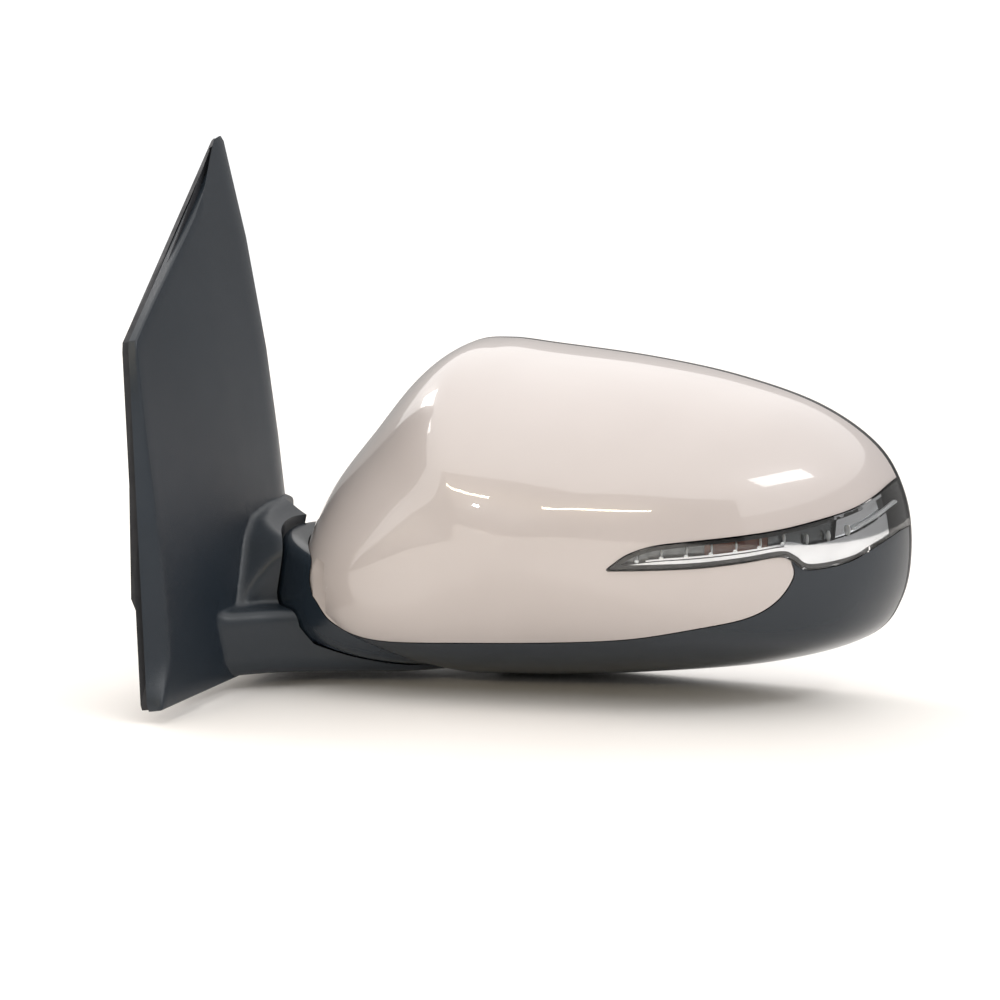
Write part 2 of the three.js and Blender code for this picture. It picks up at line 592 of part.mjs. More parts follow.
class Helix extends THREE.Curve {
  constructor(radius, z0, z1, turns) {
    super();
    Object.assign(this, { radius, z0, z1, turns });
  }
  getPoint(t) {
    const a = t * this.turns * 2 * Math.PI;
    const z = this.z0 + (this.z1 - this.z0) * t;
    return new THREE.Vector3(this.radius * Math.cos(a), this.radius * Math.sin(a), z);
  }
}

// In the fold unit's frame: the worm beside the fold gear, and the motor beside the worm's wheel.
const GEAR_Z = 10.5;
const WORM_X = 25.8;
const WHEEL_Y = -13;
const MOTOR_X = 36.8;

function foldUnit() {
  const tube = solid(turned([[6.5, -9], [9, -9], [9, 62], [6.5, 62]], 20));
  part("pivot_tube", tube, STEEL, foldGroup);
  const lugs = [0, 120, 240].map((a) =>
    solid(new THREE.CylinderGeometry(1.6, 2.2, 1.4, 8).rotateX(90 * RAD).translate(17, 0, -2.5).rotateZ(a * RAD)));
  part("detent_ring", union(solid(turned([[11, -6.2], [22, -6.2], [22, -3], [11, -3]], 24)), ...lugs), STEEL, foldGroup);
  part("detent_plate", solid(turned(
    [[11, -2.6], [14.2, -2.6], [14.2, -1.2], [19.8, -1.2], [19.8, -2.6], [22.5, -2.6], [22.5, 0.6], [11, 0.6]], 24)),
    STEEL, foldGroup);

  const outline = (inset, floor) => union(
    solid(turned([[0, floor], [22 - inset, floor], [22 - inset, 21], [0, 21]], 24)),
    solid(box(0, 33 - inset, -22.4 + inset, 12 - inset, floor, 21)),
    solid(box(0, 45 - inset, -22.4 + inset, -2 - inset, floor + 1.5, 21)));
  const bore = solid(turned([[0, -5], [9.5, -5], [9.5, 90], [0, 90]], 20));
  const pads = FOLD_SCREWS.map(([x, z]) => solid(rodY(x, z, 4.2, -24, -20.2, 10)));
  const screwBores = FOLD_SCREWS.map(([x, z]) => solid(rodY(x, z, 1.9, -30, -20.8, 8)));
  const room = outline(1.8, 3).add(solid(box(2, 31.2, -22, 10, 19, 24)));
  part("fold_housing", minus(union(outline(0, 1).subtract(room), ...pads), bore, ...screwBores), BLACK, foldGroup);
  const shaftHole = solid(rodZ(MOTOR_X, WHEEL_Y, 3, 10, 40, 12));
  part("fold_lid", minus(placed(outline(0, 0).intersect(solid(box(-60, 90, -60, 60, 18.6, 30))),
    new THREE.Matrix4().makeTranslation(0, 0, 2.75)), bore, shaftHole), BLACK, foldGroup);
  part("fold_gear", toothed(20, 19.8, 1.8, 9.7, GEAR_Z - 3, GEAR_Z + 3), STEEL, foldGroup);

  const wormShaft = union(
    solid(worm(3.6, 1.7, 4, 14).rotateX(90 * RAD)),
    solid(rodY(0, 0, 1.8, -19, 9.6, 12)),
    solid(toothed(12, 6, 1, 1, -2, 2).rotateX(90 * RAD).translate(0, WHEEL_Y, 0)));
  part("fold_worm", wormShaft, WHITE, foldGroup).position.set(WORM_X, 0, GEAR_Z);
  const pinion = union(solid(worm(2.6, 1.6, 3.5, 10)), solid(rodZ(0, 0, 1.2, -5.6, 12.6, 8)));
  part("fold_motor_worm", pinion, STEEL, foldGroup).position.set(MOTOR_X, WHEEL_Y, GEAR_Z);
  const can = union(
    solid(rodZ(MOTOR_X, WHEEL_Y, 10.6, 24.2, 52, 20)), solid(rodZ(MOTOR_X, WHEEL_Y, 4, 52, 55, 14)));
  part("fold_motor", can, STEEL, foldGroup);

  const spring = new THREE.ExtrudeGeometry(
    new THREE.Shape(new THREE.Path().absarc(0, 0, 1.3, 0, 2 * Math.PI).getPoints(5).slice(0, 5)),
    { steps: 50, bevelEnabled: false, extrudePath: new Helix(12.4, 25.6, 52.4, 5) });
  part("pivot_spring", spring, STEEL, foldGroup);
  part("spring_seat", turned([[9.4, 54.3], [17, 54.3], [17, 56.8], [9.4, 56.8]], 20), STEEL, foldGroup);
  part("retaining_clip", turned([[9.4, 57.2], [14, 57.2], [12.5, 59], [9.4, 59]], 20), STEEL, foldGroup);
}

// ---------------------------------------------------------------- carrier inside the head


function carrier() {
  const sheet = smooth(RIM_OUTLINE, 44, true)
    .map(([x, z]) => [CREST.x + (x - CREST.x) * 0.76, CREST.z + (z - CREST.z) * 0.76]);
  let frame = solid(prism(sheet, 33, 36)).intersect(solid(box(0, 242, 0, 90, -90, 90)));
  frame = frame.subtract(solid(box(0, 129.2, 30, 40, -90, 13)));
  const windows = [[140, 166, 44, 49], [184, 216, 43, 47], [238, 260, -30, 18]];
  for (const [x0, x1, z0, z1] of windows) {
    frame = frame.subtract(solid(prism(roundedRect(x0, x1, z0, z1, 1.8, 3), 30, 40)));
  }
  const bracket = [[58, -48], [58, -30], [84, 16], [132, 16], [132, -55], [84, -57]];
  frame = union(frame,
    solid(prism(bracket, 19.8, 22.8)),
    solid(box(84, 132, 19.8, 36, 13, 16)),
    solid(box(129.2, 132, 19.8, 36, -45, 16)));
  const holes = ACTUATOR_SCREWS.map(([x, z]) => solid(rodY(x, z, 2.4, 10, 40, 12)));
  const foldHoles = FOLD_SCREWS.map(([x, z]) => foldMatrix(rodY(x, z, 2.3, -40, -20, 12)));
  part("case_frame", minus(frame, ...holes, ...foldHoles), BLACK);
  FOLD_SCREWS.forEach(([x, z], i) => {
    const screw = union(solid(rodY(x, z, 3.6, -31.4, -28.8, 12)), solid(rodY(x, z, 1.5, -29, -21.4, 8)));
    part(`frame_screw_${i + 1}`, screw, STEEL, foldGroup);
  });
}

// ---------------------------------------------------------------- glass actuator

function actuator() {
  const outer = roundedRect(148, 226, -43, 39, 9, 3);
  const inner = grown(outer, -2);
  let back = minus(solid(prism(outer, 36.4, 53)), solid(prism(inner, 38.6, 60)));
  for (const [x, z] of ACTUATOR_SCREWS) {
    const toward = x < PIVOT.x ? 10 : -8;
    const ear = union(solid(rodY(x, z, 6, 36.4, 40.4, 16)),
      solid(box(Math.min(x, x + toward), Math.max(x, x + toward), 36.4, 40.4, z - 5, z + 5)));
    back = back.add(ear.subtract(solid(prism(inner, 38.6, 60)))).subtract(solid(rodY(x, z, 2.2, 30, 50, 12)));
  }
  part("actuator_back", back, BLACK);
  ACTUATOR_SCREWS.forEach(([x, z], i) => {
    const screw = union(solid(rodY(x, z, 3.8, 40.8, 43.4, 10)), solid(rodY(x, z, 1.7, 30, 42, 8)));
    part(`actuator_screw_${i + 1}`, screw, STEEL);
  });
  let front = minus(solid(prism(outer, 53.35, 65)), solid(prism(inner, 40, 63)));
  front = front.add(solid(rodY(PIVOT.x, PIVOT.z, 6, 62, 75, 18)));
  const guides = [SCREW_UP, SCREW_SIDE].map(({ x, z }) => solid(rodY(x, z, 4.4, 50, 80, 16)));
  const pinHole = solid(rodX(PIVOT.y, PIVOT.z, 1.9, PIVOT.x - 12, PIVOT.x + 12, 12));
  part("actuator_front", minus(front, ...guides, pinHole), BLACK);

  const gearY = 48;
  for (const [suffix, { x, z }] of [["up", SCREW_UP], ["side", SCREW_SIDE]]) {
    const gear = solid(toothed(14, 10.6, 1.4, 3.3, -2.5, 2.5).rotateX(90 * RAD));
    const hub = minus(solid(rodY(0, 0, 5.4, -6, 6, 16)), solid(rodY(0, 0, 3.3, -9, 9, 14)));
    part(`drive_gear_${suffix}`, union(gear, hub), WHITE).position.set(x, gearY, z);
    const rod = solid(rodY(0, 0, 2.5, -29, 0, 12));
    const ball = solid(new THREE.SphereGeometry(3.2, 12, 8));
    part(`jack_screw_${suffix}`, union(rod, ball), WHITE).position.set(x, PIVOT.y, z);
  }
  const away = 10.6 + 4.2; // from a drive gear's axis to its worm's
  const shaft = (length) => union(solid(worm(2.2, 1.4, 3.4, 11)), solid(rodZ(0, 0, 1, -9, length, 8)));
  const upWorm = part("drive_worm_up", shaft(13), STEEL);
  upWorm.rotation.y = -90 * RAD;
  upWorm.position.set(SCREW_UP.x, gearY, SCREW_UP.z - away);
  const sideWorm = part("drive_worm_side", shaft(13), STEEL);
  sideWorm.rotation.x = 180 * RAD;
  sideWorm.position.set(SCREW_SIDE.x - away, gearY, SCREW_SIDE.z - 3);
  part("tilt_motor_up", rodX(gearY, SCREW_UP.z - away, 7, SCREW_UP.x - 34, SCREW_UP.x - 14, 18), STEEL);
  part("tilt_motor_side", solid(rodZ(SCREW_SIDE.x - away, gearY, 7, -39.5, -19.8, 18)), STEEL);
}

// ---------------------------------------------------------------- tilting glass

function glass() {
  const { x, y, z } = PIVOT;
  const ring = minus(solid(rodY(x, z, 11, y - 2.5, y + 2.5, 20)), solid(rodY(x, z, 8, y - 9, y + 9, 20)));
  const pins = union(
    solid(rodX(y, z, 1.5, x - 9, x - 3, 8)), solid(rodX(y, z, 1.5, x + 3, x + 9, 8)),
    solid(rodZ(x, y, 1.5, z - 14.6, z - 10, 8)), solid(rodZ(x, y, 1.5, z + 10, z + 14.6, 8)));
  part("gimbal_ring", union(ring, pins), WHITE);

  const sheet = (grow, y0, thick) => {
    const ringAt = (share, side) => glassOutline(grow).map(([u, v]) =>
      [x + (u - x) * share, y0 + side + GLASS_SAG * (1 - share * share), z + (v - z) * share]);
    return solid(loft([ringAt(0.34, 0), ringAt(0.7, 0), ringAt(1, 0), ringAt(1, thick), ringAt(0.7, thick), ringAt(0.34, thick)]));
  };
  const cups = [SCREW_UP, SCREW_SIDE];
  let holder = union(
    sheet(2.2, HOLDER_Y, 2.2),
    minus(sheet(2.2, HOLDER_Y, 8.2), sheet(GAP + 0.1, HOLDER_Y - 4, 20)),
    solid(rodY(x, z, 17.5, y - 2.5, HOLDER_Y + 3.5, 20)),
    ...cups.map((c) => solid(rodY(c.x, c.z, 6.2, y - 1.2, HOLDER_Y + 3.5, 12))));
  holder = minus(holder, solid(rodY(x, z, 13, y - 9, HOLDER_Y + 1.5, 18)),
    solid(rodZ(x, y, 1.9, z - 20, z + 20, 12)),
    ...cups.map((c) => solid(rodY(c.x, c.z, 4, y - 9, HOLDER_Y + 1.5, 12))));
  part("glass_holder", holder, BLACK);
  part("heater_pad", sheet(-3, HOLDER_Y + 2.8, 0.5), FOIL);
  part("mirror_glass", sheet(-0.3, HOLDER_Y + 3.9, GLASS_THICK), MIRROR);
}

shells();
bezel();
lamp();
foot();
doorPlate();
foldUnit();
carrier();
actuator();
glass();

export default group;
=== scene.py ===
"""Left door mirror of a car: a painted folding head with a signal lamp and a tilting glass, on a
black foot whose triangular sail covers the front corner of the door's window."""

import json
import math

import bmesh
import bpy
import numpy as np
from mathutils import Matrix, Vector


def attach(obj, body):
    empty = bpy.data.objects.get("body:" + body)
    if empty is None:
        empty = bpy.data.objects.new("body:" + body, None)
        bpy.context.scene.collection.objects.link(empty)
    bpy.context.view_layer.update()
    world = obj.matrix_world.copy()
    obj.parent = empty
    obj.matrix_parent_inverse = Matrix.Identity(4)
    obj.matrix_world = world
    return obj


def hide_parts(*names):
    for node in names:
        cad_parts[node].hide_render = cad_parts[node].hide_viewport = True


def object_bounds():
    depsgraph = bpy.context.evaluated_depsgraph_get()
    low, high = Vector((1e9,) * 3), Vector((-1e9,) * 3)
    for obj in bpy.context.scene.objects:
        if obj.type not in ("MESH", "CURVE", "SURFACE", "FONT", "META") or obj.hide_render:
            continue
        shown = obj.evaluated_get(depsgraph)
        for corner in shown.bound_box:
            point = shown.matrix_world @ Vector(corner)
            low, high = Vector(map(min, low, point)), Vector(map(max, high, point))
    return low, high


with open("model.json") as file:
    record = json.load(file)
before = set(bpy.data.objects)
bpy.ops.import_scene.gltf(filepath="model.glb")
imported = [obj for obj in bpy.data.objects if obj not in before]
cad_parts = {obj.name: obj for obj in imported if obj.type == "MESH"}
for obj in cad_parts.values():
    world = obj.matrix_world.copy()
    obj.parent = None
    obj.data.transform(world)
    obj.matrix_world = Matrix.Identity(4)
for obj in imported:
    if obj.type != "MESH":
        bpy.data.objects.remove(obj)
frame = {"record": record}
cad_box = [list(corner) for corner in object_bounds()]
JOINTS = {joint["name"]: joint for joint in frame["record"]["behaviour"]["joints"]}
MM = 0.001

# ------------------------------------------------------------------ driving dimensions, in mm

RIM_Y = 95.0
BEZEL_Y = 90.0
DOME_DEPTH = 105.0
CREST = (142.0, -5.0)
WALL = 2.5
PANEL_GAP = 0.5
RIM_OUTLINE = [
    (39, -20), (47, 8), (67, 36), (85, 58), (102, 70), (120, 72.5), (142, 71), (187, 67),
    (227, 60.5), (264, 49.5), (290, 33), (302, 13), (305.5, -10), (302, -33), (289, -50),
    (255, -62), (207, -70), (152, -75.5), (102, -75), (66, -63), (45, -42),
]
SCALP_EDGE = [
    (44, -15), (47, -22), (54, -27), (63, -34), (71, -43), (82, -48.5), (98, -50.5), (128, -49.5), (162, -48),
    (202, -44), (235, -37), (255, -32), (266, -25), (272, -15), (271, -7),
]
LAMP_TOP = [
    (201, -11), (209, -5), (220, -1), (235, 1), (253, 3), (267, 5), (280, 8), (290, 11),
    (296, 15), (300, 21),
]
LAMP_BOTTOM = [
    (201, -11.5), (219, -10.8), (237, -9.8), (254, -7.8), (267, -5.8), (272, -8), (277, -12),
    (290, -10.5), (299, -5), (304, -1),
]
GLASS_EDGE = [
    (93, -30), (87, 0), (92, 26), (105, 44), (125, 54.5), (150, 56.5), (190, 53), (228, 46),
    (258, 35), (278, 17), (286, -6), (284, -25), (272, -42), (246, -52), (205, -59), (160, -62),
    (124, -61), (104, -50),
]
PIVOT = [c / MM for c in JOINTS["glass_tilt_v"]["pos_m"]]
GLASS_SAG = 3.0
HOLDER_Y = 75.3
LEVER = 26.0

FOLD_POINT = [c / MM for c in JOINTS["head_fold"]["pos_m"]]
FOLD_TILT = math.asin(JOINTS["head_fold"]["axis"][0])
FOLD = Matrix.Translation(FOLD_POINT) @ Matrix.Rotation(FOLD_TILT, 4, "Y")
NECK_R = 48.0
BOWL_CLEARANCE = 1.2

SAIL_X = 14.0
SAIL_THICK = 6.0
SAIL = Matrix.Translation((SAIL_X, 0, 0)) @ Matrix.Rotation(math.radians(-8), 4, "Y")
SAIL_OUTLINE = [
    (-79, -72), (-80, -69), (-75.5, -45), (-70.8, -20), (-62.4, 25), (-52.5, 78), (-51, 82),
    (57, 161.5), (60, 162.5), (62.5, 160), (72, 116), (77, 65), (77, 26), (75, -15), (72, -68), (70, -72),
]
BELT_BOTTOM = -70.0
BELT_TOP = -41.0
# (y, z) that the rings of the sail's outer face close in on
SAIL_MIDDLE = (20, 20)
# (y, z) of the slope that the neck of the foot flares out under
SADDLE_SLOPE = [(-6, -90), (-1, -44), (6, -33), (18, -13), (27, -6), (42, -3), (90, 0), (90, -90)]
# where the dome's own skin closes a nick that the room for the foot leaves in the scalp
CHEEK_PATCH = (70, 83, -20, 6, -30, -10)
# the arm's fillets, and its wall where they thin it
MELT_VOXEL = 1.1
MELT_STEPS = 26
ARM_WALL = WALL + 1.4
BELT_OUTLINE = [
    (8, -46), (11, -38), (16, -30), (24, -21), (34, -11), (44, -2), (57, 6), (74, 13), (98, 23), (113, 36),
    (117, 48), (112, 60), (98, 70), (74, 76), (45, 75), (10, 72),
]

# ------------------------------------------------------------------ curves and mesh building


def smooth(points, count, closed=False):
    """A Catmull-Rom curve through the points, as count steps of its parameter."""
    p = np.array(points, float)
    spans = len(p) if closed else len(p) - 1
    if closed:
        p = np.vstack([p[-1], p, p[0], p[1]])
    else:
        p = np.vstack([2 * p[0] - p[1], p, 2 * p[-1] - p[-2]])
    t = np.linspace(0, spans, count + 1)[: count if closed else None]
    i = np.minimum(t.astype(int), spans - 1)
    f = (t - i)[:, None]
    a, b, c, d = p[i], p[i + 1], p[i + 2], p[i + 3]
    return 0.5 * (2 * b + (c - a) * f + (2 * a - 5 * b + 4 * c - d) * f**2 + (3 * b - a - 3 * c + d) * f**3)


def grown(outline, distance):
    """The closed outline moved outwards by distance."""
    p = np.array(outline, float)
    after = np.roll(p, -1, 0) - p
    area = np.sum(p[:, 0] * np.roll(p[:, 1], -1) - p[:, 1] * np.roll(p[:, 0], -1))
    after /= np.linalg.norm(after, axis=1)[:, None]
    along = after + np.roll(after, 1, 0)
    along /= np.linalg.norm(along, axis=1)[:, None]
    side = math.copysign(1, area) * distance
    return p + np.column_stack([along[:, 1], -along[:, 0]]) * side


def polar(outline, centre):
    """A closed outline as a function from angle to distance from centre."""
    d = np.array(outline, float) - centre
    angle = np.arctan2(d[:, 1], d[:, 0])
    order = np.argsort(angle)
    return lambda a: np.interp(a, angle[order], np.hypot(d[:, 0], d[:, 1])[order], period=2 * math.pi)


rim_radius = polar(smooth(RIM_OUTLINE, 1600, True), CREST)


def swell(angle, centre, width):
    off = np.arctan2(np.sin(angle - math.radians(centre)), np.cos(angle - math.radians(centre)))
    return np.exp(-((off / math.radians(width)) ** 2))


def dome_height(share, angle):
    """Share of the dome's depth at this share of the way from the crest to the rim."""
    p = 2.15 + 1.3 * swell(angle, 212, 45) + 3 * swell(angle, 205, 20) + 0.3 * swell(angle, 90, 45)
    q = 2.1 + 0.4 * swell(angle, 212, 60)
    return np.maximum(0, 1 - share**p) ** (1 / q)


def dome_y(x, z, inset=0.0):
    angle = np.arctan2(z - CREST[1], x - CREST[0])
    share = np.hypot(x - CREST[0], z - CREST[1]) / (rim_radius(angle) - inset)
    return RIM_Y - (DOME_DEPTH - inset) * dome_height(np.minimum(share, 1), angle)


def mesh_object(name, vertices, faces):
    """A closed surface from vertices in mm, its faces turned outwards."""
    mesh = bpy.data.meshes.new(name)
    mesh.from_pydata([tuple(v) for v in np.array(vertices, float) * MM], [], faces)
    obj = bpy.data.objects.new(name, mesh)
    bpy.context.scene.collection.objects.link(obj)
    work = bmesh.new()
    work.from_mesh(mesh)
    bmesh.ops.recalc_face_normals(work, faces=work.faces)
    work.to_mesh(mesh)
    work.free()
    return obj


def loft(name, rings, matrix=None, closed=False):
    """Skin over rings of equal length, capped at both ends, or joined end to end."""
    rings = np.array(rings, float)
    rows, count = rings.shape[:2]
    vertices = rings.reshape(-1, 3)
    if matrix:
        m = np.array(matrix)
        vertices = vertices @ m[:3, :3].T + m[:3, 3]
    faces = []
    for i in range(rows if closed else rows - 1):
        k = (i + 1) % rows
        for j in range(count):
            n = (j + 1) % count
            faces.append((i * count + j, i * count + n, k * count + n, k * count + j))
    if not closed:
        ends = [vertices[:count].mean(0), vertices[-count:].mean(0)]
        first, last = len(vertices), len(vertices) + 1
        vertices = np.vstack([vertices, ends])
        for j in range(count):
            n = (j + 1) % count
            faces.append((first, n, j))
            faces.append((last, (rows - 1) * count + j, (rows - 1) * count + n))
    return mesh_object(name, vertices, faces)


def dome(inset=0.0, rear=RIM_Y, sides=300, steps=72):
    """The head's dome as a closed solid, each wall moved in by inset."""
    angle = np.linspace(-math.pi, math.pi, sides, endpoint=False)
    radius = rim_radius(angle) - inset
    rings = []
    for i in range(1, steps + 1):
        share = math.sin(i / steps * math.pi / 2)
        x = CREST[0] + share * radius * np.cos(angle)
        z = CREST[1] + share * radius * np.sin(angle)
        y = RIM_Y - (DOME_DEPTH - inset) * dome_height(share, angle)
        rings.append(np.column_stack([x, y, z]))
    if rear != RIM_Y:
        rings.append(rings[-1] * (1, 0, 1) + (0, rear, 0))
    rings.insert(0, (rings[0] - (CREST[0], 0, CREST[1])) * (0.3, 1, 0.3) + (CREST[0], 0, CREST[1]))
    rings[0][:, 1] = dome_y(rings[0][:, 0], rings[0][:, 2], inset)
    return loft("dome", rings)


def turned(profile, sides=128, matrix=FOLD, tube=False):
    """A (radius, height) profile turned about the fold axis, or about Z of another matrix."""
    angle = np.linspace(0, 2 * math.pi, sides, endpoint=False)
    rings = [np.column_stack([r * np.cos(angle), r * np.sin(angle), np.full(sides, h)])
             for r, h in profile if r > 0]
    return loft("turned", rings, matrix, closed=tube)


def flat_prism(outline, y0, y1):
    """A prism over an outline that may be concave."""
    p = np.array(outline, float)
    count = len(p)
    vertices = [(x, y, z) for y in (y0, y1) for x, z in p]
    faces = [tuple(range(count)), tuple(range(2 * count - 1, count - 1, -1))]
    faces += [(j, (j + 1) % count, (j + 1) % count + count, j + count) for j in range(count)]
    return mesh_object("prism", vertices, faces)


def prism_x(outline, x0, x1):
    """A prism along X over a (y, z) outline."""
    return loft("slope", [[(x, y, z) for y, z in outline] for x in (x0, x1)])


def block(x0, x1, y0, y1, z0, z1, matrix=None):
    corners = [(x0, y0), (x1, y0), (x1, y1), (x0, y1)]
    return loft("block", [[(x, y, z) for x, y in corners] for z in (z0, z1)], matrix)


def plain(obj):
    """The object's evaluated mesh in place of its own, with no modifiers left."""
    graph = bpy.context.evaluated_depsgraph_get()
    made = bpy.data.meshes.new_from_object(obj.evaluated_get(graph), depsgraph=graph)
    obj.modifiers.clear()
    obj.data = made
    return obj


def combine(body, tool, how):
    step = body.modifiers.new("cut", "BOOLEAN")
    step.operation = how
    step.solver = "MANIFOLD"
    step.object = tool
    plain(body)
    bpy.data.objects.remove(tool)
    return body


def less(body, *tools):
    for tool in tools:
        combine(body, tool, "DIFFERENCE")
    return body


def within(body, tool):
    return combine(body, tool, "INTERSECT")


def joined(body, *others):
    for other in others:
        combine(body, other, "UNION")
    return body


def soft_edges(obj, limit=32):
    """Smooth shading, with a sharp line wherever the surface turns by more than limit."""
    work = bmesh.new()
    work.from_mesh(obj.data)
    bmesh.ops.remove_doubles(work, verts=work.verts, dist=1e-6)
    for face in work.faces:
        face.smooth = True
    for edge in work.edges:
        edge.smooth = len(edge.link_faces) == 2 and edge.calc_face_angle(0) < math.radians(limit)
    work.to_mesh(obj.data)
    work.free()
    return obj


def dome_shading(obj, inset=0.0):
    """Gives the outer skin the exact slope of the dome, so that long highlights run true."""
    soft_edges(obj)
    mesh = obj.data
    count = len(mesh.vertices)
    at = np.empty(count * 3)
    mesh.vertices.foreach_get("co", at)
    x, y, z = at.reshape(-1, 3).T / MM
    step = 0.2
    fx = (dome_y(x + step, z, inset) - dome_y(x - step, z, inset)) / (2 * step)
    fz = (dome_y(x, z + step, inset) - dome_y(x, z - step, inset)) / (2 * step)
    steep = np.sqrt(1 + fx**2 + fz**2)
    slope = np.column_stack([fx, -np.ones(count), fz]) / steep[:, None]
    on_skin = (np.abs(y - dome_y(x, z, inset)) / steep < 0.06) & (y < RIM_Y - 6)
    loops = len(mesh.loops)
    normals = np.empty(loops * 3)
    mesh.corner_normals.foreach_get("vector", normals)
    normals = normals.reshape(-1, 3)
    vertex = np.empty(loops, int)
    mesh.loops.foreach_get("vertex_index", vertex)
    flat = np.empty(len(mesh.polygons) * 3)
    mesh.polygons.foreach_get("normal", flat)
    size = np.empty(len(mesh.polygons), int)
    mesh.polygons.foreach_get("loop_total", size)
    face_normal = np.repeat(flat.reshape(-1, 3), size, axis=0)
    take = on_skin[vertex] & ((face_normal * slope[vertex]).sum(1) > 0.9)
    normals[take] = slope[vertex][take]
    mesh.normals_split_custom_set([tuple(n) for n in normals])
    return obj


# ------------------------------------------------------------------ finishes


class Finish:
    """One material: a Principled shader and the few nodes that vary it over the surface."""

    def __init__(self, name, **values):
        self.material = bpy.data.materials.new(name)
        self.material.use_nodes = True
        self.nodes = self.material.node_tree.nodes
        self.links = self.material.node_tree.links
        self.shader = self.nodes["Principled BSDF"]
        self.place = self.nodes.new("ShaderNodeTexCoord").outputs["Object"]
        for key, value in values.items():
            self.shader.inputs[key.replace("_", " ")].default_value = value

    def noise(self, scale, detail=3.0, stretch=None):
        node = self.nodes.new("ShaderNodeTexNoise")
        node.inputs["Scale"].default_value = scale
        node.inputs["Detail"].default_value = detail
        source = self.place
        if stretch:
            mapping = self.nodes.new("ShaderNodeMapping")
            mapping.inputs["Scale"].default_value = stretch
            self.links.new(self.place, mapping.inputs["Vector"])
            source = mapping.outputs["Vector"]
        self.links.new(source, node.inputs["Vector"])
        return node.outputs["Fac"]

    def ramp(self, source, low, high, start=0.3, end=0.7):
        node = self.nodes.new("ShaderNodeMapRange")
        node.inputs["From Min"].default_value = start
        node.inputs["From Max"].default_value = end
        node.inputs["To Min"].default_value = low
        node.inputs["To Max"].default_value = high
        self.links.new(source, node.inputs["Value"])
        return node.outputs["Result"]

    def tint(self, source, first, second, start=0.3, end=0.7):
        node = self.nodes.new("ShaderNodeValToRGB")
        node.color_ramp.elements[0].position = start
        node.color_ramp.elements[0].color = (*first, 1)
        node.color_ramp.elements[1].position = end
        node.color_ramp.elements[1].color = (*second, 1)
        self.links.new(source, node.inputs["Fac"])
        self.links.new(node.outputs["Color"], self.shader.inputs["Base Color"])
        return self

    def rough(self, source, low, high):
        self.links.new(self.ramp(source, low, high), self.shader.inputs["Roughness"])
        return self

    def bump(self, source, strength, distance, socket="Normal"):
        node = self.nodes.new("ShaderNodeBump")
        node.inputs["Strength"].default_value = strength
        node.inputs["Distance"].default_value = distance
        self.links.new(source, node.inputs["Height"])
        self.links.new(node.outputs["Normal"], self.shader.inputs[socket])
        return self


def pearl_paint():
    paint = Finish("pearl_paint", Coat_Weight=1.0, Coat_Roughness=0.02, Coat_IOR=1.55, Metallic=0.0)
    flake = paint.noise(5200, 2)
    paint.tint(paint.noise(14, 3), (0.5, 0.452, 0.44), (0.53, 0.482, 0.47))
    paint.rough(paint.noise(25, 2), 0.28, 0.34)
    paint.bump(flake, 0.03, 0.0002)
    return paint.material


def grained_black(name, grain=0.22, gloss=0.34, base=(0.014, 0.0165, 0.019)):
    plastic = Finish(name, Specular_IOR_Level=0.5)
    worn = plastic.noise(12, 3)
    plastic.tint(worn, base, tuple(1.25 * c + 0.001 for c in base), 0.3, 0.75)
    plastic.rough(plastic.noise(60, 3), gloss - 0.02, gloss + 0.04)
    plastic.bump(plastic.noise(2600, 2), grain, 0.0004)
    return plastic.material


def rubber():
    seal = Finish("seal_rubber")
    seal.tint(seal.noise(40, 5), (0.008, 0.009, 0.013), (0.02, 0.021, 0.026))
    seal.rough(seal.noise(150, 4), 0.62, 0.8)
    seal.bump(seal.noise(1800, 3), 0.2, 0.0004)
    return seal.material


def metal(name, colour, low, high, stretch=None, pits=0.12):
    cast = Finish(name, Metallic=1.0)
    cast.tint(cast.noise(55, 5), tuple(0.86 * c for c in colour), colour)
    cast.rough(cast.noise(320, 4, stretch), low, high)
    cast.bump(cast.noise(1500, 4, stretch), pits, 0.0003)
    return cast.material


def clear_lens():
    lens = Finish("clear_lens", Roughness=0.02, IOR=1.49, Transmission_Weight=1.0)
    lens.tint(lens.noise(30, 2), (0.88, 0.885, 0.89), (0.93, 0.935, 0.94))
    lens.bump(lens.noise(20, 2), 0.01, 0.001)
    return lens.material


# Painted glow: a weak emission that brightens the chips like a highlight, though the signal lamp is not switched
# on.
def painted_glow_chip(name, colour, glow):
    chip = Finish(name, Roughness=0.3, Emission_Strength=glow)
    chip.shader.inputs["Emission Color"].default_value = (*colour, 1)
    chip.tint(chip.noise(900, 2), tuple(0.8 * c for c in colour), colour)
    return chip.material


def silvered():
    silver = Finish("silvered_glass", Metallic=1.0)
    silver.tint(silver.noise(6, 2), (0.78, 0.82, 0.86), (0.81, 0.85, 0.885))
    silver.rough(silver.noise(25, 5), 0.008, 0.022)
    return silver.material


PAINT = pearl_paint()
FOOT_BLACK = grained_black("foot_black", 0.25, 0.34, (0.013, 0.019, 0.027))
COVER_BLACK = grained_black("cover_black", 0.05, 0.2, (0.011, 0.017, 0.025))
BEZEL_BLACK = grained_black("bezel_black", 0.16, 0.36, (0.012, 0.013, 0.015))
NYLON = grained_black("glass_filled_nylon", 0.35, 0.5, (0.012, 0.012, 0.0125))
RUBBER = rubber()
ALLOY = metal("die_cast_alloy", (0.60, 0.61, 0.62), 0.36, 0.55, pits=0.3)
STEEL = metal("turned_steel", (0.62, 0.63, 0.65), 0.2, 0.36)
ZINC = metal("zinc_plate", (0.66, 0.67, 0.66), 0.25, 0.42)
CHROME = metal("bright_chrome", (0.88, 0.89, 0.91), 0.03, 0.08, pits=0.01)
SMOKED = metal("smoked_chrome", (0.17, 0.18, 0.185), 0.12, 0.25, pits=0.05)
LENS = clear_lens()
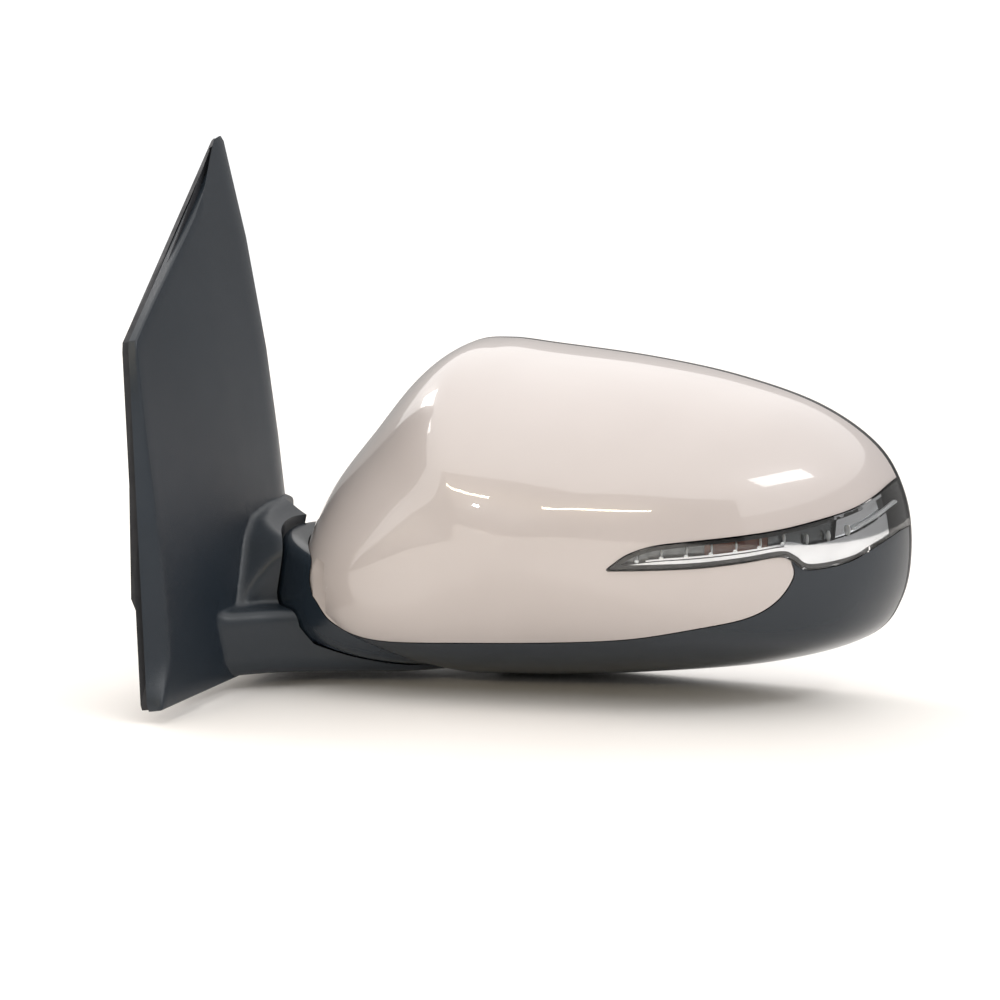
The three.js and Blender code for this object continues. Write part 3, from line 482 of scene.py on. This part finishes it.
RIB = grained_black("moulded_clear", 0.02, 0.1, (0.62, 0.64, 0.66))
AMBER_GLASS = grained_black("amber_glass", 0.02, 0.12, (0.16, 0.055, 0.03))
ACETAL = grained_black("natural_acetal", 0.1, 0.4, (0.5, 0.49, 0.45))
BOARD = grained_black("circuit_board", 0.1, 0.35, (0.01, 0.08, 0.035))
# The amber, white and chip-dome finishes below carry a painted glow, not light from a switched-on lamp.
AMBER = painted_glow_chip("amber_chip", (0.95, 0.42, 0.05), 0.5)
WHITE = painted_glow_chip("white_chip", (0.95, 0.95, 0.90), 0.8)
CHIP = painted_glow_chip("chip_dome", (0.9, 0.9, 0.88), 0.45)
FOIL = grained_black("heater_film", 0.05, 0.5, (0.03, 0.027, 0.026))
SILVER = silvered()


def finish_piece(obj, name, material, slot, body, *nodes):
    """Names a finished piece, gives it its material and body, and puts it in its nodes' place."""
    obj.name = name
    obj.data.name = name
    obj.data.materials.clear()
    obj.data.materials.append(material)
    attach(obj, body)
    if nodes:
        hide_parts(*nodes)
    return obj


# ------------------------------------------------------------------ head


def spline_profile(points, count):
    return [tuple(p) for p in smooth(points, count)]


def neck(inset=0.0):
    """The turned neck that sits in the foot's bowl."""
    shoulder = spline_profile([(NECK_R, 28), (47.6, 32), (45.5, 34.8), (41, 36)], 10)
    foot = spline_profile([(33.5, -5.1), (41.2, -2.6), (46, 3.6), (NECK_R, 12)], 12)
    profile = [(20, -5.1)] + foot + shoulder + [(20, 36)]
    return turned([(max(1, r - inset), h + (inset if h < 20 else -inset)) for r, h in profile])


def foot_room(extra=0.0):
    """Room that the dome leaves for the foot, beside the neck on the door side and under it."""
    near = NECK_R - 0.3
    beside = turned([(near, -40), (120, -40), (120, 36 + extra), (near, 36 + extra)], tube=True)
    within(beside, block(-130, extra - 5, -130, 130, -60, 80, FOLD))
    near = NECK_R + 0.7 - extra
    swept = turned([(near, 20), (120, 20), (120, 72 + extra), (55 - extra, 72 + extra), (51 - extra, 48),
                    (near, 36)], tube=True)
    within(swept, block(-130, extra - 5, 24 - extra, 130, 0, 90, FOLD))
    under = turned([(76 + extra, -60), (76 + extra, -22), (50.6 + extra, -6 + extra / 2),
                    (46 + extra, extra - 0.5)])
    groove = turned([(51.5 + extra, -60), (51.5 + extra, -6), (49.8 + extra, 9 + extra)])
    within(groove, block(-130, 25 + extra, 20 - extra, 130, -60, 9 + extra, FOLD))
    return joined(beside, under, swept, groove)


def slab(y0, y1):
    return block(-60, 400, y0, y1, -200, 200)


def height_at(line, x):
    return np.interp(x, line[:, 0], line[:, 1])


LAMP_TOP_LINE = np.vstack([smooth(LAMP_TOP, 80), (330, 36)])
LAMP_BOTTOM_LINE = np.vstack([smooth(LAMP_BOTTOM, 80), (330, 8)])


def lamp_outline(grow):
    along = np.arange(201, 313, 1.0)
    top, bottom = height_at(LAMP_TOP_LINE, along) + grow, height_at(LAMP_BOTTOM_LINE, along) - grow
    keep = top - bottom > 0.3
    along, top, bottom = along[keep], top[keep], bottom[keep]
    tip = [(along[0] - max(grow, 0.2), (top[0] + bottom[0]) / 2)]
    return np.vstack([tip, np.column_stack([along, bottom]), np.column_stack([along, top])[::-1]])


SCALP_OUTLINE = np.vstack([smooth(SCALP_EDGE, 160), [(330, 5), (330, 110), (10, 110), (10, -15)]])


def head_outer():
    return joined(less(dome(), foot_room()), neck())


def head_inner():
    inside = less(dome(WALL, RIM_Y + 10, 160, 40), foot_room(WALL))
    return joined(inside, neck(WALL), turned([(25, -12), (25, 0)]))


def cheek(grow):
    """The outboard half of the neck's front, which the painted scalp also covers."""
    side = Matrix.Translation((63.2 - grow, 0, 0)) @ Matrix.Rotation(math.radians(22), 4, "Z")
    barrel = turned([(NECK_R + 0.3 + grow, -8), (NECK_R + 0.3 + grow, 36.3 + grow)])
    within(barrel, block(0, 400, -300, 300, -200, 200, side))
    return within(barrel, slab(-60, 45 + grow))


def scalp_tool(grow):
    return within(flat_prism(grown(SCALP_OUTLINE, grow), -40, 120), joined(dome(-grow), cheek(grow)))


def make_head_shells():
    shell = less(head_outer(), head_inner(), slab(BEZEL_Y - PANEL_GAP, 140))
    cover = shell.copy()
    cover.data = shell.data.copy()
    bpy.context.scene.collection.objects.link(cover)
    patch = less(within(dome(), block(*CHEEK_PATCH)), dome(WALL, RIM_Y + 10, 160, 40))
    painted = joined(within(shell, scalp_tool(0)), within(patch, scalp_tool(0)))
    less(painted, flat_prism(lamp_outline(PANEL_GAP), -40, 120))
    less(cover, scalp_tool(PANEL_GAP), flat_prism(lamp_outline(PANEL_GAP), -40, 120))
    finish_piece(dome_shading(painted), "painted_scalp", PAINT, "paint", "head", "scalp")
    finish_piece(dome_shading(cover), "head_lower_cover", COVER_BLACK, "grained_black", "head",
                 "lower_cover")


HEAD_CENTRE = (172.0, -3.0)
glass_line = smooth(GLASS_EDGE, 400, True)
glass_radius = polar(glass_line, HEAD_CENTRE)
rim_about_centre = polar(smooth(RIM_OUTLINE, 1600, True), HEAD_CENTRE)


def make_bezel():
    angle = np.linspace(-math.pi, math.pi, 320, endpoint=False)
    rim, opening = rim_about_centre(angle), glass_radius(angle)
    section = [
        (rim, -0.25, 90.1), (rim, 0, 90.8), (rim, 0, 92.6), (rim, -0.25, 93.9), (rim, -0.9, 94.7),
        (rim, -2.0, 95.0), (rim, -4.0, 95.0), (opening, 10, 94.9), (opening, 8.2, 94.4),
        (opening, 7.0, 93.2), (opening, 6.5, 91.4), (opening, 6.2, 89), (opening, 5.7, 81),
        (opening, 5.3, 74.2), (opening, 5.6, 74), (opening, 6.4, 74), (opening, 7.4, 88),
        (opening, 9.5, 90.1), (rim, -4, 90.1),
    ]
    rings = []
    for base, out, y in section:
        r = base + out
        rings.append(np.column_stack([HEAD_CENTRE[0] + r * np.cos(angle), np.full(len(angle), y),
                                      HEAD_CENTRE[1] + r * np.sin(angle)]))
    ring = loft("bezel", rings, closed=True)
    less(ring, foot_room(0.2))
    joined(ring, within(neck(), slab(BEZEL_Y, 94.6)))
    finish_piece(soft_edges(ring), "glass_opening_bezel", BEZEL_BLACK, "grained_black", "head", "glass_bezel")


# ------------------------------------------------------------------ signal lamp


def lamp_layer(outer, inner, grow, rear):
    layer = less(dome(outer), dome(inner, RIM_Y + 10))
    return within(within(layer, flat_prism(lamp_outline(grow), -40, rear)), block(150, 312, -40, rear, -60, 60))


def lamp_path(inset, share, start, end, step=2.0):
    """Points along the lamp on the dome moved in by inset, at this share of the lamp's height."""
    x = np.arange(start, end, step)
    z = height_at(LAMP_BOTTOM_LINE, x) * (1 - share) + height_at(LAMP_TOP_LINE, x) * share
    return np.column_stack([x, dome_y(x, z, inset), z])


def path_object(name, points):
    curve = bpy.data.curves.new(name, "CURVE")
    curve.dimensions = "3D"
    line = curve.splines.new("POLY")
    line.points.add(len(points) - 1)
    for point, at in zip(line.points, np.array(points) * MM):
        point.co = (*at, 1)
    obj = bpy.data.objects.new(name, curve)
    bpy.context.scene.collection.objects.link(obj)
    return obj


def socket(tree, name, kind, value=None):
    made = tree.interface.new_socket(name, in_out="INPUT", socket_type="NodeSocket" + kind)
    if value is not None:
        made.default_value = value
    return made


def repeat_tree():
    """Geometry Nodes: a rounded bead stood at each step along a path, upright and facing along it."""
    tree = bpy.data.node_groups.new("beads_on_path", "GeometryNodeTree")
    socket(tree, "Geometry", "Geometry")
    socket(tree, "Spacing", "Float", 0.0098)
    socket(tree, "Size", "Vector", (0.001, 0.001, 0.001))
    socket(tree, "Material", "Material")
    tree.interface.new_socket("Geometry", in_out="OUTPUT", socket_type="NodeSocketGeometry")
    add, link = tree.nodes.new, tree.links.new
    given, result = add("NodeGroupInput"), add("NodeGroupOutput")
    points = add("GeometryNodeCurveToPoints")
    points.mode = "LENGTH"
    bead = add("GeometryNodeMeshIcoSphere")
    bead.inputs["Radius"].default_value = 1
    bead.inputs["Subdivisions"].default_value = 3
    stand = add("GeometryNodeInstanceOnPoints")
    align = add("FunctionNodeAlignRotationToVector")
    align.axis = "X"
    align.pivot_axis = "Z"
    real = add("GeometryNodeRealizeInstances")
    smooth_faces = add("GeometryNodeSetShadeSmooth")
    paint = add("GeometryNodeSetMaterial")
    link(given.outputs["Geometry"], points.inputs["Curve"])
    link(given.outputs["Spacing"], points.inputs["Length"])
    link(points.outputs["Points"], stand.inputs["Points"])
    link(bead.outputs["Mesh"], stand.inputs["Instance"])
    link(points.outputs["Tangent"], align.inputs["Vector"])
    link(align.outputs["Rotation"], stand.inputs["Rotation"])
    link(given.outputs["Size"], stand.inputs["Scale"])
    link(stand.outputs["Instances"], real.inputs["Geometry"])
    link(real.outputs["Geometry"], smooth_faces.inputs["Geometry"])
    link(smooth_faces.outputs["Geometry"], paint.inputs["Geometry"])
    link(given.outputs["Material"], paint.inputs["Material"])
    link(paint.outputs["Geometry"], result.inputs["Geometry"])
    return tree


def beads(name, points, spacing, size, material):
    """A run of beads along the points, as one plain mesh. Sizes in mm, along the path first."""
    path = path_object(name, points)
    tree = bpy.data.node_groups.get("beads_on_path") or repeat_tree()
    step = path.modifiers.new("beads", "NODES")
    step.node_group = tree
    given = {item.name: item.identifier for item in tree.interface.items_tree if item.in_out == "INPUT"}
    step[given["Spacing"]] = spacing * MM
    step[given["Size"]] = [c * MM for c in size]
    step[given["Material"]] = material
    graph = bpy.context.evaluated_depsgraph_get()
    mesh = bpy.data.meshes.new_from_object(path.evaluated_get(graph), depsgraph=graph)
    bpy.data.objects.remove(path)
    obj = bpy.data.objects.new(name, mesh)
    bpy.context.scene.collection.objects.link(obj)
    return obj


def ribbon(outer, inner, low, high, start, end):
    """A strip of the dome's layer between two shares of the lamp's height."""
    x = np.arange(start, end, 1.0)
    bottom, top = height_at(LAMP_BOTTOM_LINE, x), height_at(LAMP_TOP_LINE, x)
    lower, upper = bottom + (top - bottom) * low, bottom + (top - bottom) * high
    outline = np.vstack([np.column_stack([x, lower]), np.column_stack([x, upper])[::-1]])
    return within(less(dome(outer, RIM_Y, 300, 72), dome(inner, RIM_Y + 10)), flat_prism(outline, -40, 72))


def make_lamp():
    lens = lamp_layer(-0.8, 1.4, 0, BEZEL_Y - PANEL_GAP)
    finish_piece(dome_shading(lens, -0.8), "signal_lens", LENS, "lens_clear", "head", "lamp_lens")
    tray = less(lamp_layer(1.8, 15, -0.4, 59), lamp_layer(1, 13.4, -2, 60))
    finish_piece(soft_edges(tray), "signal_tray", NYLON, "black_nylon", "head", "lamp_housing")
    reflector = lamp_layer(6.4, 7.6, -1.4, 58.5)
    finish_piece(dome_shading(reflector, 6.4), "signal_reflector", SMOKED, "chrome", "head", "lamp_reflector")
    finish_piece(dome_shading(ribbon(5.0, 6.0, 0.36, 0.86, 238, 262), 5.0), "amber_window", AMBER_GLASS,
                 "led_amber", "head")
    finish_piece(soft_edges(ribbon(1.9, 5.4, 0.08, 0.32, 206, 270)), "signal_trim_strip", CHROME,
                 "chrome", "head")
    finish_piece(dome_shading(ribbon(1.9, 3.2, 0.10, 0.52, 268, 302), 1.9), "signal_trim", CHROME, "chrome",
                 "head", "lamp_trim")
    finish_piece(soft_edges(ribbon(2.2, 4.6, 0.36, 0.43, 216, 300)), "signal_trim_step", CHROME, "chrome", "head")
    finish_piece(dome_shading(ribbon(4.6, 5.6, 0.5, 0.92, 284, 303), 4.6), "outer_reflector", CHROME,
                 "chrome", "head")
    finish_piece(soft_edges(ribbon(1.8, 4.2, 0.92, 0.99, 284, 303)), "outer_fin", CHROME, "chrome", "head")
    finish_piece(beads("window_ribs", lamp_path(4.0, 0.62, 212, 290), 9.6, (0.45, 1.6, 2.3), RIB), "window_ribs",
                 RIB, "lens_clear", "head")
    finish_piece(beads("lamp_chips", lamp_path(3.4, 0.44, 212, 290), 9.6, (0.9, 0.9, 0.75), CHIP), "lamp_chips",
                 CHIP, "led_white", "head")
    finish_piece(beads("diffuser_block", lamp_path(3.0, 0.62, 290, 300, 1), 1.1, (0.8, 1.2, 0.8), RIB),
                 "diffuser_block", RIB, "lens_clear", "head")


# ------------------------------------------------------------------ tilting glass


def sheet(grow, y0, thick, edge=0.0):
    """A slightly convex plate over the glass outline, edge rounded by edge."""
    outline = grown(glass_line, grow)
    shares = (0.12, 0.3, 0.45, 0.6, 0.75, 0.88)

    def ring(share, side, back=0.0):
        p = grown(outline, -back) if back else outline
        x = PIVOT[0] + (p[:, 0] - PIVOT[0]) * share
        z = PIVOT[2] + (p[:, 1] - PIVOT[2]) * share
        return np.column_stack([x, np.full(len(p), y0 + side + GLASS_SAG * (1 - share**2)), z])

    front = [ring(s, 0) for s in shares] + [ring(1, 0, edge)]
    rim = [ring(1, edge), ring(1, thick - edge)] if edge else [ring(1, thick)]
    rear = ([ring(1, thick, edge)] if edge else []) + [ring(s, thick) for s in shares[::-1]]
    return loft("sheet", front + rim + rear)


def rod_y(x, z, r, y0, y1, sides=48):
    along_y = Matrix.Translation((x, 0, z)) @ Matrix.Rotation(math.pi / 2, 4, "X")
    return turned([(r, -y1), (r, -y0)], sides, along_y)


def rod_z(x, y, r, z0, z1, sides=32):
    return turned([(r, z0), (r, z1)], sides, Matrix.Translation((x, y, 0)))


def make_glass():
    px, py, pz = PIVOT
    cups = [(px, pz + LEVER), (px + LEVER, pz)]
    holder = sheet(2.2, HOLDER_Y, 2.2)
    rim = less(sheet(2.2, HOLDER_Y, 8.2, 0.5), sheet(0.45, HOLDER_Y - 4, 20))
    joined(holder, rim, rod_y(px, pz, 17.5, py - 2.5, HOLDER_Y + 3.5))
    joined(holder, *[rod_y(x, z, 6.2, py - 1.2, HOLDER_Y + 3.5) for x, z in cups])
    less(holder, rod_y(px, pz, 13, py - 9, HOLDER_Y + 1.5), rod_z(px, py, 1.9, pz - 20, pz + 20))
    less(holder, *[rod_y(x, z, 4, py - 9, HOLDER_Y + 1.5) for x, z in cups])
    finish_piece(soft_edges(holder), "glass_carrier", NYLON, "black_nylon", "glass", "glass_holder")
    film = sheet(-3, HOLDER_Y + 2.8, 0.5)
    finish_piece(soft_edges(film), "heater_film", FOIL, "heater_foil", "glass", "heater_pad")
    glass = sheet(-0.3, HOLDER_Y + 3.9, 2.2, 0.35)
    finish_piece(soft_edges(glass), "rear_view_glass", SILVER, "mirror", "glass", "mirror_glass")


# ------------------------------------------------------------------ foot


def smoothstep(value, low, high):
    share = np.clip((np.asarray(value, float) - low) / (high - low), 0, 1)
    return share * share * (3 - 2 * share)


def along_outline(outline, step=3.0):
    """The closed outline with extra points on its long sides."""
    points = []
    for a, b in zip(outline, list(outline[1:]) + [outline[0]]):
        count = max(1, round(math.dist(a, b) / step))
        points += [(a[0] + (b[0] - a[0]) * i / count, a[1] + (b[1] - a[1]) * i / count) for i in range(count)]
    return points


def sail(x0, x1, grow):
    """The sail: its front edge thins towards the top and slants back towards the bottom."""
    steps = [(x0, 0, 0, 1), (x1 - 3.5, 0, 5, 1), (x1 - 1.8, 0, 9, 1), (x1 - 1, 0, 12, 1),
             (x1 - 0.45, 0.15, 14.5, 1), (x1 - 0.12, 0.5, 17.5, 1), (x1, 1, 20, 1)]
    steps += [(x1, 1, 20, share) for share in (0.95, 0.88, 0.8, 0.7, 0.6, 0.5, 0.4, 0.3, 0.2, 0.1)]
    rings = []
    for x, inset, soft, share in steps:
        p = np.array(along_outline(grown(SAIL_OUTLINE, grow - inset).tolist()))
        p = np.array(SAIL_MIDDLE) + share * (p - np.array(SAIL_MIDDLE))
        y, z = p[:, 0], p[:, 1]
        front = 1 - smoothstep(y, -80, 25)
        thin = 0.55 * front * smoothstep(z, -60, 110)
        slant = 12 * front * (1 - smoothstep(z, -50, 110)) * smoothstep(z, -78, -48) * max(0, x / SAIL_THICK)
        depth = x * (1 - thin) if x > 0 else np.full(len(p), x)
        rings.append(np.column_stack([depth, y - smoothstep(y, 10, 75) * soft + slant, z]))
    length = min(len(ring) for ring in rings)
    even = [ring[np.linspace(0, len(ring) - 1, length).round().astype(int)] for ring in rings]
    return loft("sail", even, SAIL)


def belt(inset, x0):
    rings = []
    for z, shrink in ((BELT_BOTTOM + inset, 5), (BELT_BOTTOM + 2 + inset, 2), (BELT_BOTTOM + 7, 0),
                      (BELT_TOP - 3, 0), (BELT_TOP - inset, 2.5)):
        p = grown(BELT_OUTLINE, -shrink - inset)
        x = np.where(p[:, 0] < 15, x0, p[:, 0])
        rings.append(np.column_stack([x, p[:, 1], np.full(len(p), z)]))
    return loft("belt", rings)


def rounded_rect(u0, u1, v0, v1, r, steps=8):
    points = []
    for u, v, start in ((u1 - r, v1 - r, 0), (u0 + r, v1 - r, 90), (u0 + r, v0 + r, 180), (u1 - r, v0 + r, 270)):
        for i in range(steps + 1):
            a = math.radians(start + 90 * i / steps)
            points.append((u + r * math.cos(a), v + r * math.sin(a)))
    return points


def saddle(inset, x0):
    """The neck of the foot, flaring into the sail."""
    sections = smooth([(8, -18, 73, 3), (17, -16, 72.6, 2), (25, -4, 71.5, -4), (33, 9, 69, -9),
                       (44, 16, 66, -12.8), (57, 17.5, 66, -13.7), (70, 18, 66, -14)], 30)
    sections = [(x0, *sections[0][1:])] * (x0 < 8) + list(sections)
    rings = []
    for x, y0, y1, z1 in sections:
        rect = rounded_rect(y0 + inset, y1 - inset, BELT_TOP - 20, z1 - inset, 8)
        rings.append([(x, y, z) for y, z in rect])
    slope = prism_x(grown(SADDLE_SLOPE, -inset), x0 - 1, 80)
    return within(loft("saddle", rings), slope)


def bowl(extra=0.0):
    r = NECK_R + BOWL_CLEARANCE + extra
    return turned([(30, -6 - extra), (34, -6 - extra), (42 + extra, -3.5 - extra), (47 + extra, 3),
                   (r, 12), (r, 70)])


def fold_room(extra):
    """Room behind the neck for the rim of the head when it is folded."""
    near, low = 46.4 - extra, 80
    ring = turned([(near, 1 - extra), (50.3 - extra, -7.2 - extra), (78, -25 - extra), (90, -25 - extra),
                   (90, low), (near, low)], tube=True)
    return within(ring, block(-60, 130, 12 - extra, 130, -40, 80, FOLD))


def melted_arm():
    """The arm and a patch of the sail behind it, run together with soft fillets."""
    patch = within(sail(0, SAIL_THICK - 0.5, -6), block(-40, 60, -60, 90, -200, 40))
    arm = joined(belt(0, 8), saddle(0, 8), patch)
    melt = arm.modifiers.new("melt", "REMESH")
    melt.mode = "VOXEL"
    melt.voxel_size = MELT_VOXEL * MM
    ease = arm.modifiers.new("ease", "SMOOTH")
    ease.factor = 0.5
    ease.iterations = MELT_STEPS
    return less(plain(arm), block(-200, 2, -200, 200, -200, 200, SAIL))


def make_foot():
    head_side = joined(turned([(43, -3.4), (90, -3.4), (90, 80), (43, 80)], tube=True),
                       turned([(50.2, -60), (90, -60), (90, 10), (50.2, 10)], tube=True))
    within(head_side, block(-8, 130, -130, 130, -60, 90, FOLD))
    cover = joined(sail(0, SAIL_THICK, 0), less(melted_arm(), bowl(), head_side, fold_room(0)))
    arm_inside = less(joined(belt(ARM_WALL, -20), saddle(ARM_WALL, -20)), bowl(WALL), fold_room(WALL))
    drop = less(turned([(1, -30), (30.8, -30), (30.8, 0), (1, 0)]),
                block(-60, 200, -100, 140, -200, BELT_BOTTOM + WALL))
    less(cover, arm_inside, sail(-6, SAIL_THICK - WALL, -WALL), drop)
    finish_piece(soft_edges(cover), "foot_cover", FOOT_BLACK, "grained_black", "base", "base_cover")


# ------------------------------------------------------------------ carried-over pieces


def keep(node, material):
    obj = bpy.data.objects[node]
    obj.data.materials.clear()
    obj.data.materials.append(material)


NODE_FINISH = {
    NYLON: ["case_frame", "fold_housing", "fold_lid", "actuator_back", "actuator_front"],
    RUBBER: ["mount_gasket", "cable_grommet", "sail_seal"],
    ALLOY: ["base_frame"],
    STEEL: ["pivot_tube", "detent_ring", "detent_plate", "fold_gear", "pivot_spring", "spring_seat",
            "retaining_clip", "fold_motor", "fold_motor_worm", "drive_worm_up", "drive_worm_side",
            "tilt_motor_up", "tilt_motor_side"],
    ZINC: ["thread_insert_1", "thread_insert_2", "thread_insert_3", "base_screw_1", "base_screw_2",
           "base_screw_3", "frame_screw_1", "frame_screw_2", "frame_screw_3", "actuator_screw_1",
           "actuator_screw_2", "actuator_screw_3"],
    ACETAL: ["fold_worm", "gimbal_ring", "drive_gear_up", "drive_gear_side", "jack_screw_up", "jack_screw_side"],
    BOARD: ["lamp_board"],
    AMBER: ["led_1", "led_2", "led_3", "led_4"],
    WHITE: ["led_5", "led_6"],
}

# ------------------------------------------------------------------ studio


def area_light(name, place, aim, width, depth, power, colour=(1, 1, 1)):
    light = bpy.data.lights.new(name, "AREA")
    light.shape = "RECTANGLE"
    light.size, light.size_y = width, depth
    light.energy = power
    light.color = colour
    obj = bpy.data.objects.new(name, light)
    obj.location = place
    obj.rotation_euler = (Vector(aim) - Vector(place)).to_track_quat("-Z", "Y").to_euler()
    bpy.context.scene.collection.objects.link(obj)


def stage_box(name, material, *bounds):
    panel = block(*bounds)
    panel.name = name
    panel.data.materials.append(material)
    return panel


def make_studio():
    middle = (Vector(cad_box[0]) + Vector(cad_box[1])) / 2
    level = cad_box[0][2] / MM - 0.2
    table = Finish("pale_table", Roughness=0.6)
    table.tint(table.noise(9, 4), (0.86, 0.835, 0.81), (0.90, 0.88, 0.86))
    stage_box("table", table.material, -1300, 1600, -1500, 1250, level - 20, level)
    wall = Finish("studio_wall", Roughness=0.9)
    wall.tint(wall.noise(2, 2), (0.10, 0.097, 0.095), (0.13, 0.127, 0.12))
    stage_box("studio_wall", wall.material, -2600, 2600, -2540, -2500, level - 400, 1900)

    sun = bpy.data.lights.new("soft_top", "SUN")
    sun.energy = 3.1
    sun.angle = math.radians(150)
    sun.color = (1, 0.985, 0.965)
    sky = bpy.data.objects.new("soft_top", sun)
    sky.rotation_euler = (math.radians(12), math.radians(-10), 0)
    bpy.context.scene.collection.objects.link(sky)
    area_light("window", (1.22, -0.2, 1.15), middle, 0.7, 0.3, 4.2)
    area_light("left_band", (-1.7, 0.5, 1.3), middle, 1.3, 0.5, 13, (1, 0.95, 0.93))
    area_light("tube_left", (-0.75, -1.7, 0.72), middle, 0.8, 0.06, 4.2, (1, 0.86, 0.62))
    area_light("tube_right", (0.25, -1.95, 0.78), middle, 0.95, 0.06, 4.8, (1, 0.86, 0.62))
    area_light("star", (-0.35, -1.4, 0.33), middle, 0.05, 0.05, 1.2)

    world = bpy.data.worlds.new("studio")
    bpy.context.scene.world = world
    world.use_nodes = True
    nodes, links = world.node_tree.nodes, world.node_tree.links
    room = nodes["Background"]
    room.inputs["Color"].default_value = (0.50, 0.49, 0.48, 1)
    room.inputs["Strength"].default_value = 0.8
    white = nodes.new("ShaderNodeBackground")
    white.inputs["Color"].default_value = (1, 1, 1, 1)
    white.inputs["Strength"].default_value = 1.1
    path = nodes.new("ShaderNodeLightPath")
    mix = nodes.new("ShaderNodeMixShader")
    links.new(path.outputs["Is Camera Ray"], mix.inputs["Fac"])
    links.new(room.outputs["Background"], mix.inputs[1])
    links.new(white.outputs["Background"], mix.inputs[2])
    links.new(mix.outputs["Shader"], nodes["World Output"].inputs["Surface"])
    bpy.context.scene.view_settings.view_transform = "Standard"


VIEW_TURN, VIEW_RISE, VIEW_DISTANCE = math.radians(22), math.radians(9.5), 1.5
VIEW_AIM = Vector((0.143, 0.020, 0.011))


def make_camera():
    turn, rise = VIEW_TURN, VIEW_RISE
    back = Vector((math.sin(turn) * math.cos(rise), -math.cos(turn) * math.cos(rise), math.sin(rise)))
    camera = bpy.data.cameras.new("camera")
    camera.lens = 125.8
    camera.sensor_width = 36
    camera.clip_start = 0.05
    obj = bpy.data.objects.new("camera", camera)
    obj.location = VIEW_AIM + back * VIEW_DISTANCE
    obj.rotation_euler = (-back).to_track_quat("-Z", "Y").to_euler()
    bpy.context.scene.collection.objects.link(obj)
    bpy.context.scene.camera = obj


make_head_shells()
make_bezel()
make_lamp()
make_glass()
make_foot()
for material, nodes_of in NODE_FINISH.items():
    for node_name in nodes_of:
        keep(node_name, material)
make_studio()
make_camera()
